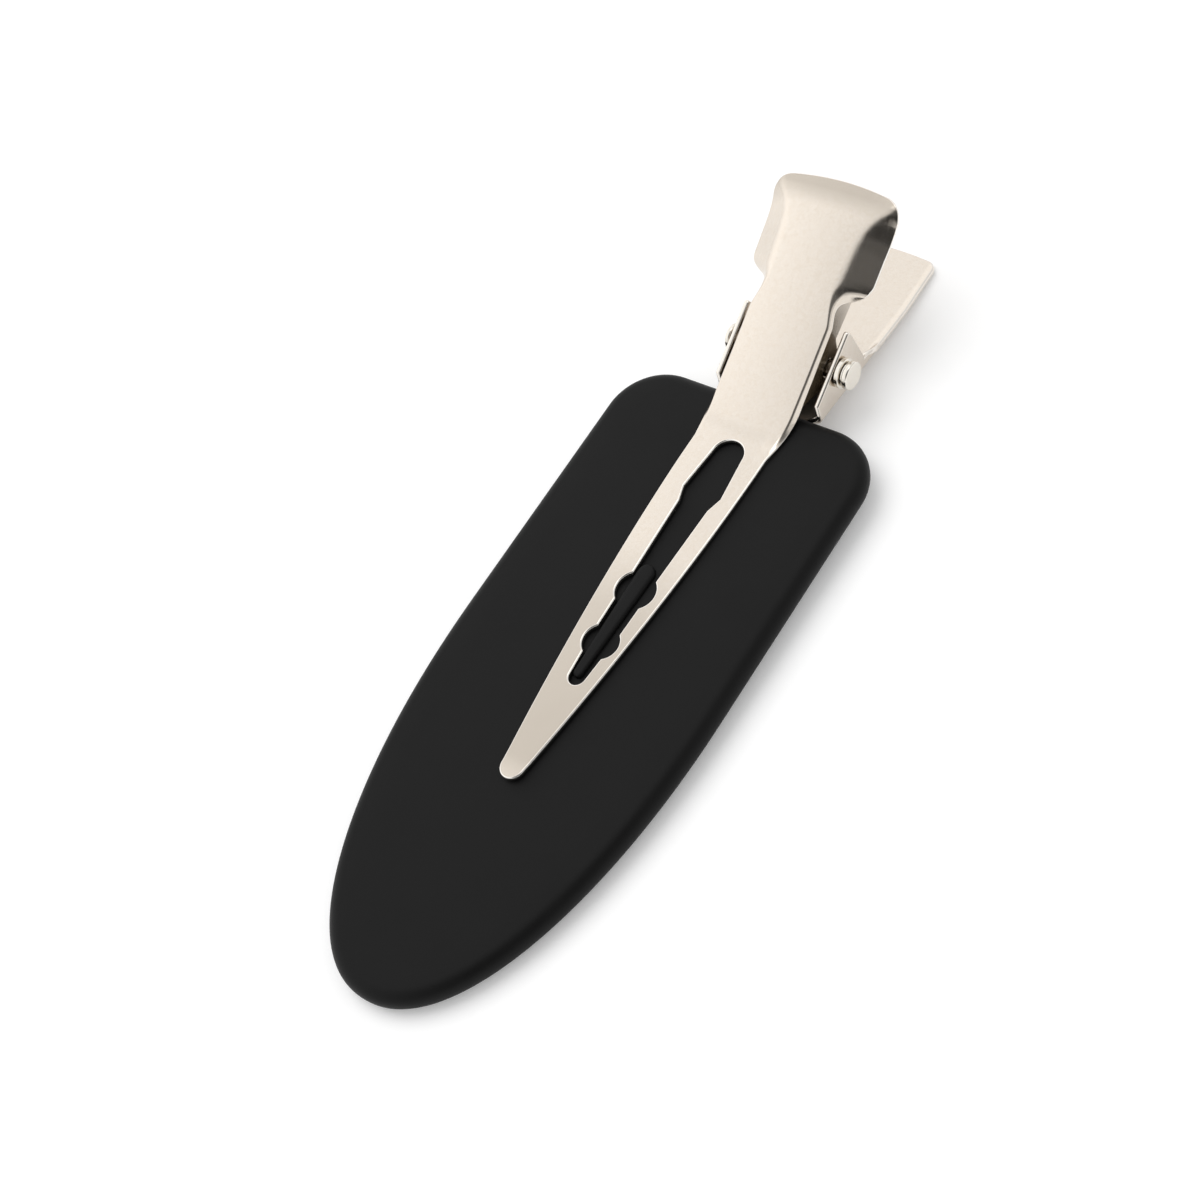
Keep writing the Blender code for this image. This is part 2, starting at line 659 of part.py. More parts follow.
def make_pin(clip, pivot, material):
    """The rivet: a turned head on the left ear, a shank through ears and flanges, a peened right end."""
    left = -JAW_WIDTH / 2 - RUN_GAP
    shoulder = JAW_WIDTH / 2 + 2 * RUN_GAP + WASHER_THICKNESS
    neck = shoulder + PIN_SHOULDER_LENGTH
    profile = [(left - PIN_HEAD_THICKNESS, 0)]
    profile += domed(left - PIN_HEAD_THICKNESS, left, PIN_HEAD_RADIUS)
    profile += [(left, PIN_RADIUS), (shoulder, PIN_RADIUS), (shoulder, PIN_SHOULDER_RADIUS)]
    profile += [(neck, PIN_SHOULDER_RADIUS)]
    profile += domed(neck, neck + PEENED_THICKNESS, PEENED_RADIUS)
    profile += [(neck + PEENED_THICKNESS, 0)]
    return turned("pivot_pin", profile, clip, pivot, material)


def make_washer(clip, pivot, material):
    low = JAW_WIDTH / 2 + RUN_GAP
    high = low + WASHER_THICKNESS
    bore = PIN_RADIUS + RUN_GAP
    profile = [(low, bore), (low, WASHER_RADIUS), (high, WASHER_RADIUS), (high, bore)]
    return turned("pin_washer", profile, clip, pivot, material)


def spring_path():
    """The wire's middle line about the pivot: a leg under the lever, the coil, a leg on the floor."""
    first = math.pi / 2 + LEVER_ANGLE
    last = 1.5 * math.pi + LOWER_LEG_ANGLE + 2 * math.pi * COIL_TURNS
    sweep = last - first
    count = round(sweep / (2 * math.pi) * COIL_POINTS)
    length = BODY_WIDTH - 2 * SHEET - 2 * COIL_CLEARANCE - WIRE
    turns = np.linspace(first, last, count + 1)
    x = length / 2 - length * (turns - first) / sweep
    coil = np.stack([x, COIL_RADIUS * np.cos(turns), COIL_RADIUS * np.sin(turns)], axis=1)
    reach = np.linspace(LEG_LENGTH, 0, LEG_POINTS + 1)[:-1]
    upper = coil[0] + reach[:, None] * [0, math.cos(LEVER_ANGLE), math.sin(LEVER_ANGLE)]
    lower = coil[-1] + reach[::-1, None] * [0, math.cos(LOWER_LEG_ANGLE), math.sin(LOWER_LEG_ANGLE)]
    return np.concatenate([upper, coil, lower])


def least_gap(points, reach):
    """The least clear distance of a wire to itself, between points further apart along it than reach."""
    steps = np.linalg.norm(np.diff(points, axis=0), axis=1)
    along = np.concatenate([[0], np.cumsum(steps)])
    apart = np.linalg.norm(points[:, None] - points[None], axis=2)
    far = np.abs(along[:, None] - along[None]) > reach
    return apart[far].min() - WIRE


def make_spring(clip, pivot, material):
    points = spring_path()
    gap = least_gap(points, math.pi * COIL_RADIUS)
    print(f"torsion spring: least gap to itself {gap * 1000:.2f} mm")
    curve = bpy.data.curves.new("torsion_spring", "CURVE")
    curve.dimensions = "3D"
    curve.bevel_depth = WIRE / 2
    curve.bevel_resolution = 1
    curve.use_fill_caps = True
    spline = curve.splines.new("POLY")
    spline.points.add(len(points) - 1)
    for point, target in zip(points, spline.points):
        target.co = (*point, 1)
    curve.materials.append(material)
    return place(bpy.data.objects.new("torsion_spring", curve), clip, pivot)


def stand(root):
    """Tilts the clip until the plate's tip and the tab's end touch z = 0, and centres it there."""
    tip = (RIM - PLATE_LENGTH, -PLATE_THICKNESS)
    tab = (TAB_END, floor_path(TAB_END)[0])
    root.rotation_euler.x = math.atan2(tip[1] - tab[1], tab[0] - tip[0])
    bpy.context.view_layer.update()
    graph = bpy.context.evaluated_depsgraph_get()
    points = []
    for obj in bpy.context.scene.objects:
        if obj.type in ("MESH", "CURVE") and not obj.hide_render:
            shape = obj.evaluated_get(graph)
            mesh = shape.to_mesh()
            points += [shape.matrix_world @ vertex.co for vertex in mesh.vertices]
            shape.to_mesh_clear()
    points = np.array(points)
    low, high = points.min(axis=0), points.max(axis=0)
    root.location = (-(low[0] + high[0]) / 2, -(low[1] + high[1]) / 2, -low[2])


def main():
    clear_scene()
    root = empty("stand", None)
    clip = empty("clip", root, (CLIP_OFFSET, 0, 0))
    pivot = (0, PIVOT_Y, PIVOT_Z)
    steel = finish("nickel_plated_steel", STEEL)
    pin_steel = finish("pin_steel", PIN_STEEL)
    make_plate(root, clip, finish("black_plastic", BLACK_PLASTIC))
    make_lower_jaw(clip, pivot, steel)
    make_upper_jaw(clip, pivot, steel)
    make_pin(clip, pivot, pin_steel)
    make_washer(clip, pivot, pin_steel)
    make_spring(clip, pivot, finish("spring_steel", SPRING_STEEL))
    stand(root)


main()
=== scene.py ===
"""A flat hair clip: nickel-plated sprung steel on a smooth black plate, lying on white paper."""
import json
import math

import bmesh
import bpy
import numpy as np
from mathutils import Matrix, Vector, geometry


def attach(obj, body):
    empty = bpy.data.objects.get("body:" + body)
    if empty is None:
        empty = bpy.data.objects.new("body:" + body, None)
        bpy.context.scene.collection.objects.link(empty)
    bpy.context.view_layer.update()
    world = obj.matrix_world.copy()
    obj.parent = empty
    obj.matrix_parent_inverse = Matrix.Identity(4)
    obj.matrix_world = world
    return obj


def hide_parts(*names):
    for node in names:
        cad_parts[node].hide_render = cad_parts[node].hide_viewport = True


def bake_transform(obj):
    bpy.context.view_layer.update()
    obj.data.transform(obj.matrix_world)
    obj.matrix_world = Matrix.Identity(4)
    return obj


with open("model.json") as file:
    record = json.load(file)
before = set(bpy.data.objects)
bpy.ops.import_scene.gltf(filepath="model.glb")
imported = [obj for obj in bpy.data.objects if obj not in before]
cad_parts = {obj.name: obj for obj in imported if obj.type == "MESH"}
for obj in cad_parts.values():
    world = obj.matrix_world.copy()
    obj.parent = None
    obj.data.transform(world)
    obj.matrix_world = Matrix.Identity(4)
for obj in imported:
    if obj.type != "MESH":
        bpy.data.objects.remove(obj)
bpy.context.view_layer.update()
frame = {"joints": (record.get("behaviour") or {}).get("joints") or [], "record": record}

# Plate
# A flat leaf-shaped cover moulded in black ABS with a fine spark-eroded matte skin and a full
# round rim. The metal clip is pushed into a pocket in its rear edge, and a low rib stands in the
# prong's slot.
PLATE_LENGTH, PLATE_HALF, PLATE_THICK = 54.3, 12.0, 2.2
TIP_LENGTH, TIP_POWERS, REAR_CORNER = 29.8, (2.1, 2.13), 4.7
TIP_STEPS, CORNER_STEPS, RIM_STEPS, ACROSS = 220, 20, 14, 12
RIB_HALF, RIB_FOOT_HALF, RIB_TOP, RIB_FOOT = 0.82, 0.42, -16.4, -26.8
RIB_RISE, RIB_POWER, RIB_SUNK, RIB_ROWS, RIB_COLUMNS = 0.42, 5, 0.3, 60, 20
BLACK, BLACK_HANDLED = "#0B0B0B", "#111111"

# Pieces are drawn in millimetres in the clip's own frame: x = 0 is the middle of the metal, z = 0
# the plate's face and y = 0 its rear edge. The clip rests on the plate's tip and on the end of its
# thumb tab, so it leans forward by one degree.
PIN_PLACE = np.array([0, 4.0, 0.9])
METAL_SHIFT = 0.6
hinge_place = np.array(frame["joints"][0]["pos_m"])
underside = next(m for m in frame["record"]["mounts"] if m["name"] == "plate_underside")
lean = math.asin(underside["axis"][1])
cos_lean, sin_lean = math.cos(lean), math.sin(lean)
LEAN = np.array([[1, 0, 0], [0, cos_lean, -sin_lean], [0, sin_lean, cos_lean]])


def lie(points):
    """Millimetres in the clip's frame to metres in the part's frame: a turn about X and a shift to
    the pin."""
    return (np.asarray(points) - PIN_PLACE) @ LEAN.T * 0.001 + hinge_place


def linear(code):
    """An sRGB hex colour as linear red, green, blue and 1."""
    c = np.array([int(code[i : i + 2], 16) / 255 for i in (1, 3, 5)])
    return (*np.where(c <= 0.04045, c / 12.92, ((c + 0.055) / 1.055) ** 2.4), 1)


def per_mm(count):
    """A noise scale for that many features to the millimetre, as the pieces' coordinates are in
    metres."""
    return 1000 * count


def add(tree, kind, settings=(), **inputs):
    """Adds a node: settings are its properties, inputs its sockets by name or by i and number,
    each a value or another node's output."""
    made = tree.nodes.new(kind)
    for name, value in dict(settings).items():
        setattr(made, name, value)
    for name, value in inputs.items():
        socket = made.inputs[int(name[1:]) if name[1:].isdigit() else name.replace("_", " ")]
        if isinstance(value, bpy.types.NodeSocket):
            tree.links.new(value, socket)
        else:
            socket.default_value = value
    return made


def new_finish(name):
    """An empty material with its surface shader and the object's own coordinates."""
    material = bpy.data.materials.new(name)
    material.use_nodes = True
    tree = material.node_tree
    place = add(tree, "ShaderNodeTexCoord").outputs["Object"]
    return material, tree, tree.nodes["Principled BSDF"], place


def moulded_black(name):
    """Black ABS: an even grain of about 0.1 mm, drawn a little coarse, dulls it, and hands have
    left faint marks of 5 mm and less, a trace paler and rougher."""
    material, tree, shader, place = new_finish(name)
    grain = add(tree, "ShaderNodeTexNoise", Vector=place, Scale=per_mm(9), Detail=3, Roughness=0.6)
    cloud = add(
        tree, "ShaderNodeTexNoise", Vector=place, Scale=per_mm(0.22), Detail=4, Roughness=0.55
    )
    handled = cloud.outputs["Fac"]
    colours = {"i6": linear(BLACK), "i7": linear(BLACK_HANDLED)}
    tone = add(tree, "ShaderNodeMix", {"data_type": "RGBA"}, Factor=handled, **colours)
    tree.links.new(tone.outputs[2], shader.inputs["Base Color"])
    rough = add(tree, "ShaderNodeMapRange", i0=handled, i1=0.3, i2=0.7, i3=0.46, i4=0.56)
    tree.links.new(rough.outputs["Result"], shader.inputs["Roughness"])
    bump = add(tree, "ShaderNodeBump", Strength=0.35, Distance=0.00002, Height=grain.outputs["Fac"])
    tree.links.new(bump.outputs["Normal"], shader.inputs["Normal"])
    shader.inputs["IOR"].default_value = 1.5
    shader.inputs["Specular IOR Level"].default_value = 0.15
    return material


def new_piece(name, points, blocks, material, normals=None, **marks):
    """A mesh object of points in millimetres and blocks of faces, each block an array of faces
    with the same number of corners. Exact normals are set where the surface's formula gives them,
    marks on each point."""
    mesh = bpy.data.meshes.new(name)
    faces = [face for block in blocks for face in block.tolist()]
    mesh.from_pydata(lie(points).tolist(), [], faces)
    mesh.shade_smooth()
    if normals is not None:
        mesh.normals_split_custom_set_from_vertices((normals @ LEAN.T).tolist())
    for mark, values in marks.items():
        mesh.attributes.new(mark, "FLOAT", "POINT").data.foreach_set("value", values)
    mesh.materials.append(material)
    obj = bpy.data.objects.new(name, mesh)
    bpy.context.scene.collection.objects.link(obj)
    return obj


def quads(index):
    """The faces of a grid of vertex numbers, row by row."""
    a, b, c, d = index[:-1, :-1], index[:-1, 1:], index[1:, 1:], index[1:, :-1]
    return np.stack([a, b, c, d], axis=-1).reshape(-1, 4)


def plate_side():
    """The right half of the outline and its outward normals: x = half (1 - t^p)^(1/q) along the
    tip, t being 1 at the tip and 0 where the sides run straight, then the side and a quarter
    circle at the rear."""
    turn = np.linspace(0, math.pi / 2, TIP_STEPS + 1)
    x = PLATE_HALF * np.sin(turn) ** (2 / TIP_POWERS[1])
    y = TIP_LENGTH - PLATE_LENGTH - TIP_LENGTH * np.cos(turn) ** (2 / TIP_POWERS[0])
    bend = np.linspace(0, math.pi / 2, CORNER_STEPS + 1)
    corner_x = PLATE_HALF - REAR_CORNER + REAR_CORNER * np.cos(bend)
    corner_y = -REAR_CORNER + REAR_CORNER * np.sin(bend)
    side = np.column_stack([np.r_[x, corner_x], np.r_[y, corner_y]])
    step = np.gradient(side, axis=0)
    out = np.column_stack([step[:, 1], -step[:, 0]])
    out /= np.linalg.norm(out, axis=1)[:, None]
    out[0], out[-1] = (0, -1), (0, 1)
    return side, out


def make_plate():
    """Rings of the outline, drawn in and raised along a half circle, make the rim; straight rows
    across close the top and the underside, with a fan of triangles at the tip."""
    side, out = plate_side()
    rear = np.linspace(side[-1, 0], -side[-1, 0], ACROSS + 1)[1:-1]
    ring = np.concatenate([side, np.column_stack([rear, 0 * rear]), side[:0:-1] * [-1, 1]])
    away = np.concatenate([out, np.tile([0.0, 1.0], (len(rear), 1)), out[:0:-1] * [-1, 1]])
    turn = np.linspace(-math.pi / 2, math.pi / 2, RIM_STEPS + 1)[:, None]
    radius = PLATE_THICK / 2
    flat = ring[None] - away[None] * radius * (1 - np.cos(turn))[..., None]
    high = np.broadcast_to(radius * np.sin(turn) - radius, flat.shape[:2])
    points = np.concatenate([flat, high[..., None]], axis=2).reshape(-1, 3)
    half = len(side)
    index = np.arange(len(points)).reshape(RIM_STEPS + 1, len(ring))
    blocks = [quads(np.column_stack([index, index[:, 0]]))]
    share = np.linspace(0, 1, ACROSS + 1)[1:-1, None]
    for level, way in ((RIM_STEPS, -1), (0, 1)):
        right, left = index[level, 1 : half - 1], index[level, : 1 - half : -1]
        inner = points[right, None] * (1 - share) + points[left, None] * share
        numbers = len(points) + np.arange(inner.size // 3).reshape(inner.shape[:2])
        last = index[level, half - 1 : half + ACROSS]
        rows = np.vstack([np.column_stack([right, numbers, left]), last])
        fan = np.column_stack([np.full(ACROSS, index[level, 0]), rows[0, :-1], rows[0, 1:]])
        points = np.concatenate([points, inner.reshape(-1, 3)])
        blocks += [quads(rows)[:, ::way], fan[:, ::-way]]
    return points - [METAL_SHIFT, 0, 0], blocks


def make_rib():
    """The rib's height is rise times the root of 1 - d^5, d being the share of its half width from
    the middle line; the half width narrows evenly to the foot and both ends are round."""
    along = (1 - np.cos(np.linspace(0, math.pi, RIB_ROWS + 1))) / 2
    y = RIB_FOOT + (RIB_TOP - RIB_FOOT) * along
    half = RIB_FOOT_HALF + (RIB_HALF - RIB_FOOT_HALF) * along
    for gone, radius in ((RIB_TOP - y, RIB_HALF), (y - RIB_FOOT, RIB_FOOT_HALF)):
        half = half * np.sqrt(1 - (1 - np.clip(gone / radius, 0, 1)) ** 2)
    half = np.maximum(half, 0.001)[:, None]
    d = np.sin(np.linspace(-math.pi / 2, math.pi / 2, RIB_COLUMNS + 1))
    x = half * d
    lower = np.sqrt(np.clip(half / RIB_FOOT_HALF, 0, 1))
    z = RIB_RISE * np.sqrt(np.clip(1 - np.abs(d) ** RIB_POWER, 0, 1)) * lower
    top = np.stack([x, np.broadcast_to(y[:, None], x.shape), z], axis=-1)
    low = top[:, ::-1].copy()
    low[..., 2] = -RIB_SUNK
    both = np.concatenate([top, low], axis=1)
    index = np.arange(both.size // 3).reshape(both.shape[:2])
    sides = quads(np.column_stack([index, index[:, 0]]))
    return both.reshape(-1, 3), [sides, index[:1, ::-1], index[-1:]]


black = moulded_black("moulded_black_abs")
plate = new_piece("clip_plate", *make_plate(), black)
rib = new_piece("clip_plate_rib", *make_rib(), black)
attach(plate, "base")
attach(rib, "base")
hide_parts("plate")


# Lower jaw
# Stamped spring steel strip, bright nickel plated. Its tongue is pushed into the plate, the floor
# falls away behind it to the thumb tab, and two ears folded up from its sides carry the pin.
SHEET = 0.45
EDGE_ROUND, EDGE_POWER, EDGE_STEPS = 0.15, 2.3, 8
TONGUE_START, TONGUE_FLOOR, FLOOR_FALL, FLOOR_START, CHANNEL = -4, -1.325, 0.12, -0.1, 0.3
JAW_HALF, JAW_BEND_RADIUS, LIP, LIP_END = 4.85, 0.7, 0.5, 9.5
EAR_FRONT, EAR_PEAK, EAR_REAR, EAR_ROUND = (0.3, 0.6), (6.25, 3.13), (6.9, -1.0), 0.12
TAB_MIDDLE, TAB_END, TAB_HALF, TAB_END_HALF = 13.0, 18.5, 4.85, 4.5
TAB_CORNER, TAB_BULGE, TAB_EDGE, TAB_CURL, TAB_STEPS = 1.1, 0.25, 0.8, 14, 24
# Painted shade in the lower jaw's gaps: where it ends along Y, the length it fades over, the x left
# of which it stops, its share; then the share of the painted edge highlight.
GAP_SHADE_END, GAP_SHADE_FADE, GAP_SHADE_LEFT, GAP_SHADE_SHARE, EDGE_HIGHLIGHT_SHARE = 7.2, 0.6, -4.2, 0.6, 0.5
# The nickel, the paler colour painted on cut edges as highlight, and the brown painted as shade in
# the gaps.
NICKEL, EDGE_HIGHLIGHT_PAINT, GAP_SHADE_BROWN = "#DFD6CB", "#F6F2EC", "#5F5240"
# The first tint is for real stains; the second greys the nickel as painted shade.
STAINED, PAINTED_SHADE_TINT = (0.965, 0.945, 0.915, 1), (0.74, 0.73, 0.71, 1)


def nickel_plate(name, tint=NICKEL, rough=(0.14, 0.24), wear=0.5):
    """Bright nickel over stamped strip. Rolling lines along Y, about 0.05 mm apart and drawn at
    0.15 mm to show, soften its mirror, and so do shallow dents of about 2 mm and fine yellowish
    stains under 0.4 mm. Marks on the points paint light into its colour: a greyer tone is painted
    shade, a paler tone on the cut edges is a painted highlight, and a brown tone, half metal to
    the eye, is painted shade on the faces that look into the gaps."""
    material, tree, shader, place = new_finish(name)
    long = add(tree, "ShaderNodeMapping", Vector=place)
    long.inputs["Scale"].default_value = [per_mm(count) for count in (6.5, 0.26, 1.5)]
    stretched = {"Vector": long.outputs["Vector"], "Scale": 1, "Detail": 4, "Roughness": 0.6}
    lines = add(tree, "ShaderNodeTexNoise", **stretched)
    wide = {"Vector": place, "Scale": per_mm(0.52), "Detail": 3, "Roughness": 0.5}
    uneven = add(tree, "ShaderNodeTexNoise", **wide)
    small = {"Vector": place, "Scale": per_mm(2.6), "Detail": 6, "Roughness": 0.7}
    stain = add(tree, "ShaderNodeTexNoise", Distortion=1.2, **small)
    spread = add(tree, "ShaderNodeMapRange", i0=stain.outputs["Fac"], i1=0.42, i2=0.68)
    share, tone = spread.outputs[0], linear(tint)
    layers = (
        (None, np.multiply(linear(tint), STAINED)),
        # A greyer tone, painted shade.
        ("painted_shade", np.multiply(linear(tint), PAINTED_SHADE_TINT)),
        # A paler tone on the cut edges, a painted highlight.
        ("edge", linear(EDGE_HIGHLIGHT_PAINT)),
        # A brown tone on the faces that look into the gaps, painted shade.
        ("painted_gap_shade", linear(GAP_SHADE_BROWN)),
    )
    for mark, colour in layers:
        if mark:
            share = add(tree, "ShaderNodeAttribute", {"attribute_name": mark}).outputs["Fac"]
        mixed = add(tree, "ShaderNodeMix", {"data_type": "RGBA"}, Factor=share, i6=tone, i7=colour)
        tone = mixed.outputs[2]
    tree.links.new(tone, shader.inputs["Base Color"])
    # The brown painted shade also halves the metal, so it reads as a dull brown.
    metal = add(tree, "ShaderNodeMath", {"operation": "MULTIPLY_ADD"}, i0=share, i1=-0.5, i2=1.0)
    tree.links.new(metal.outputs[0], shader.inputs["Metallic"])
    ends = {"i1": 0.25, "i2": 0.75, "i3": rough[0], "i4": rough[1]}
    grade = add(tree, "ShaderNodeMapRange", i0=lines.outputs["Fac"], **ends)
    tree.links.new(grade.outputs["Result"], shader.inputs["Roughness"])
    heights = {"i0": stain.outputs["Fac"], "i1": 0.08, "i2": uneven.outputs["Fac"]}
    dents = add(tree, "ShaderNodeMath", {"operation": "MULTIPLY_ADD"}, **heights)
    wave = add(tree, "ShaderNodeBump", Strength=wear, Distance=0.00004, Height=dents.outputs[0])
    scored = {"Height": lines.outputs["Fac"], "Normal": wave.outputs["Normal"]}
    fine = add(tree, "ShaderNodeBump", Strength=0.12, Distance=0.000006, **scored)
    tree.links.new(fine.outputs["Normal"], shader.inputs["Normal"])
    return material


def unit(vectors):
    """Vectors divided by their length."""
    return vectors / np.maximum(np.linalg.norm(vectors, axis=-1, keepdims=True), 1e-12)


def press(points, normals, faces):
    """Gives a sheet its thickness and its worn cut edges. The inner face lies a sheet's thickness
    below the outer one. From each side that has one face only, a superellipse of power 2.3 stands
    out by the edge's rounding and joins them. Of the two marks, the first is 1 on the inner face,
    the second on the edge."""
    power = 2 / EDGE_POWER
    size = len(points)
    pairs = np.stack([faces, np.roll(faces, -1, axis=1)], axis=-1).reshape(-1, 2)
    rim = pairs[~np.isin(pairs @ [size, 1], pairs @ [1, size])]
    follow, lead = np.full(size, -1), np.full(size, -1)
    follow[rim[:, 0]], lead[rim[:, 1]] = rim[:, 1], rim[:, 0]
    edge = rim[:, 0]
    ahead, behind = points[follow[edge]] - points[edge], points[edge] - points[lead[edge]]
    away = unit(np.cross(unit(unit(ahead) + unit(behind)), normals[edge]))
    turn = np.linspace(0, math.pi, EDGE_STEPS + 1)[1:-1, None, None]
    c, s = np.cos(turn), np.sin(turn)
    up = np.sign(c) * np.abs(c) ** power
    middle = points[edge] - normals[edge] * SHEET / 2
    rounded = middle + normals[edge] * up * SHEET / 2 + away * EDGE_ROUND * s**power
    facing = normals[edge] * np.sign(c) * np.abs(c) ** (2 - power) / SHEET * 2
    facing = unit(facing + away * s ** (2 - power) / EDGE_ROUND)
    count = rounded.size // 3
    all_points = np.concatenate([points, points - normals * SHEET, rounded.reshape(-1, 3)])
    all_normals = np.concatenate([normals, -normals, facing.reshape(-1, 3)])
    marks = np.repeat([[0.0, 0.0], [1.0, 0.0], [0.0, 1.0]], [size, size, count], axis=0)
    place = np.full(size, -1)
    place[edge] = np.arange(len(edge))
    levels = np.vstack([edge, 2 * size + np.arange(count).reshape(EDGE_STEPS - 1, -1), edge + size])
    to = levels[:, place[follow[edge]]]
    rim_faces = np.stack([to[:-1], levels[:-1], levels[1:], to[1:]], axis=-1).reshape(-1, 4)
    return all_points, all_normals, [faces, faces[:, ::-1] + size, rim_faces], marks


def between(y, sections, reach):
    """Half the flat, the bend's length and angle and the unrolled half width at each y, from
    sections that give them after their place along Y, the angle in degrees. Straight lines join
    the sections and are then averaged over a reach either way."""
    stations, *columns = np.transpose(sections)
    steps = y + np.linspace(-reach, reach, 9)[:, None]
    columns = [np.interp(steps, stations, column).mean(axis=0) for column in columns]
    return np.stack(columns, axis=1) * [1, 1, math.radians(1), 1]


def fold(u, shape):
    """Across, depth and lean at the unrolled distance u from the middle, for rows of (flat, bend,
    angle): straight, then an arc of that length and angle, then straight again."""
    flat, bend, angle = (shape[:, k, None] for k in range(3))
    angle = np.maximum(angle, 1e-6)
    radius = bend / angle
    lean = np.clip((u - flat) / bend, 0, 1) * angle
    rest = np.clip(u - flat - bend, 0, None)
    across = np.minimum(u, flat) + radius * np.sin(lean) + rest * np.cos(lean)
    return across, radius * (1 - np.cos(lean)) + rest * np.sin(lean), lean


def sheet_grid(path, shape, bulge, inner, counts, up=1, crown=0, off=0, lopsided=0):
    """Right and left halves of a folded strip. Rows stand square to a path (y, z) that climbs at
    slope; the columns fill inner to flat, the bend and the side, out to the unrolled half width. A
    crown bows the flat like an arc whose lean grows by crown for each millimetre, and the bend
    turns that much less. A bulge moves a row's middle back by that much, less by the square of the
    distance from it. The halves meet, and a slot lies, off to the right of the middle; lopsided is
    taken from the right half's width and added to the left's."""
    y, z, slope = path
    flat, bend, width = shape[:, :1], shape[:, 1:2], shape[:, 3]
    crown = np.broadcast_to(crown, len(y))[:, None]
    shape = np.column_stack([shape[:, :2], np.maximum(shape[:, 2:3] - crown * flat, 0)])
    c1, c2, c3 = (np.linspace(0, 1, n + 1) for n in counts)
    normal = np.stack([-np.sin(slope), np.cos(slope)], axis=1)[:, None] * up
    grids, facings = [], []
    for way in (1, -1):
        start, edge = (inner + way * off)[:, None], (width - way * lopsided)[:, None]
        first = np.minimum(flat, edge * 0.92)
        second = np.clip(flat + bend, first + edge * 0.04, edge * 0.96)
        u = np.hstack([start + (first - start) * c1, first + (second - first) * c2[1:]])
        u = np.hstack([u, second + (edge - second) * c3[1:]])
        across, depth, lean = fold(u, shape)
        level = np.minimum(u, flat)
        bow = crown * level
        depth = depth + bow * level / 2 + bow * (across - level)
        across = across - bow * (depth - bow * across / 2) * (u > flat)
        lean = lean + bow
        push = bulge[:, None] * (1 - (across / across.max(axis=1, keepdims=True)) ** 2)
        back = y[:, None] + push - depth * normal[..., 0]
        points = np.stack([across, back, z[:, None] - depth * normal[..., 1]], axis=-1)
        fall = -np.sin(lean)
        out = np.stack([np.cos(lean), fall * normal[..., 0], fall * normal[..., 1]], axis=-1)
        facing = unit(np.cross(out, np.gradient(points, axis=0))) * up
        grids.append(points.reshape(-1, 3) * [way, 1, 1])
        facings.append(facing.reshape(-1, 3) * [way, 1, 1])
    index = np.arange(u.size).reshape(u.shape)
    mirror = index + u.size
    joined = inner <= 0
    mirror[joined, 0] = index[joined, 0]
    faces = np.concatenate([quads(index), quads(mirror)[:, ::-1]])[:, ::up]
    points, facing = np.concatenate(grids), np.concatenate(facings)
    used = np.zeros(len(points), bool)
    used[faces.ravel()] = True
    number = np.cumsum(used) - 1
    return points[used], facing[used], number[faces]


def spaced(stops, counts):
    """Stations between the stops, evenly spaced in each stretch."""
    runs = [np.linspace(a, b, n + 1)[1:] for a, b, n in zip(stops, stops[1:], counts)]
    return np.concatenate([[stops[0]], *runs])


def ear_height(along):
    """The ears' height above the floor's bend at a place along the floor, from their corners seen
    from the side: a short front edge, a long climb to a rounded peak and a steep fall to the
    lip."""
    fall = math.atan(FLOOR_FALL)
    y, z = np.transpose([EAR_FRONT, EAR_PEAK, EAR_REAR]) - [[FLOOR_START], [TONGUE_FLOOR]]
    place = y * math.cos(fall) - z * math.sin(fall)
    height = y * math.sin(fall) + z * math.cos(fall)
    reach = np.linspace(-EAR_ROUND, EAR_ROUND, 9)[:, None]
    return np.interp(along + reach, place, height, left=0, right=0).mean(axis=0)


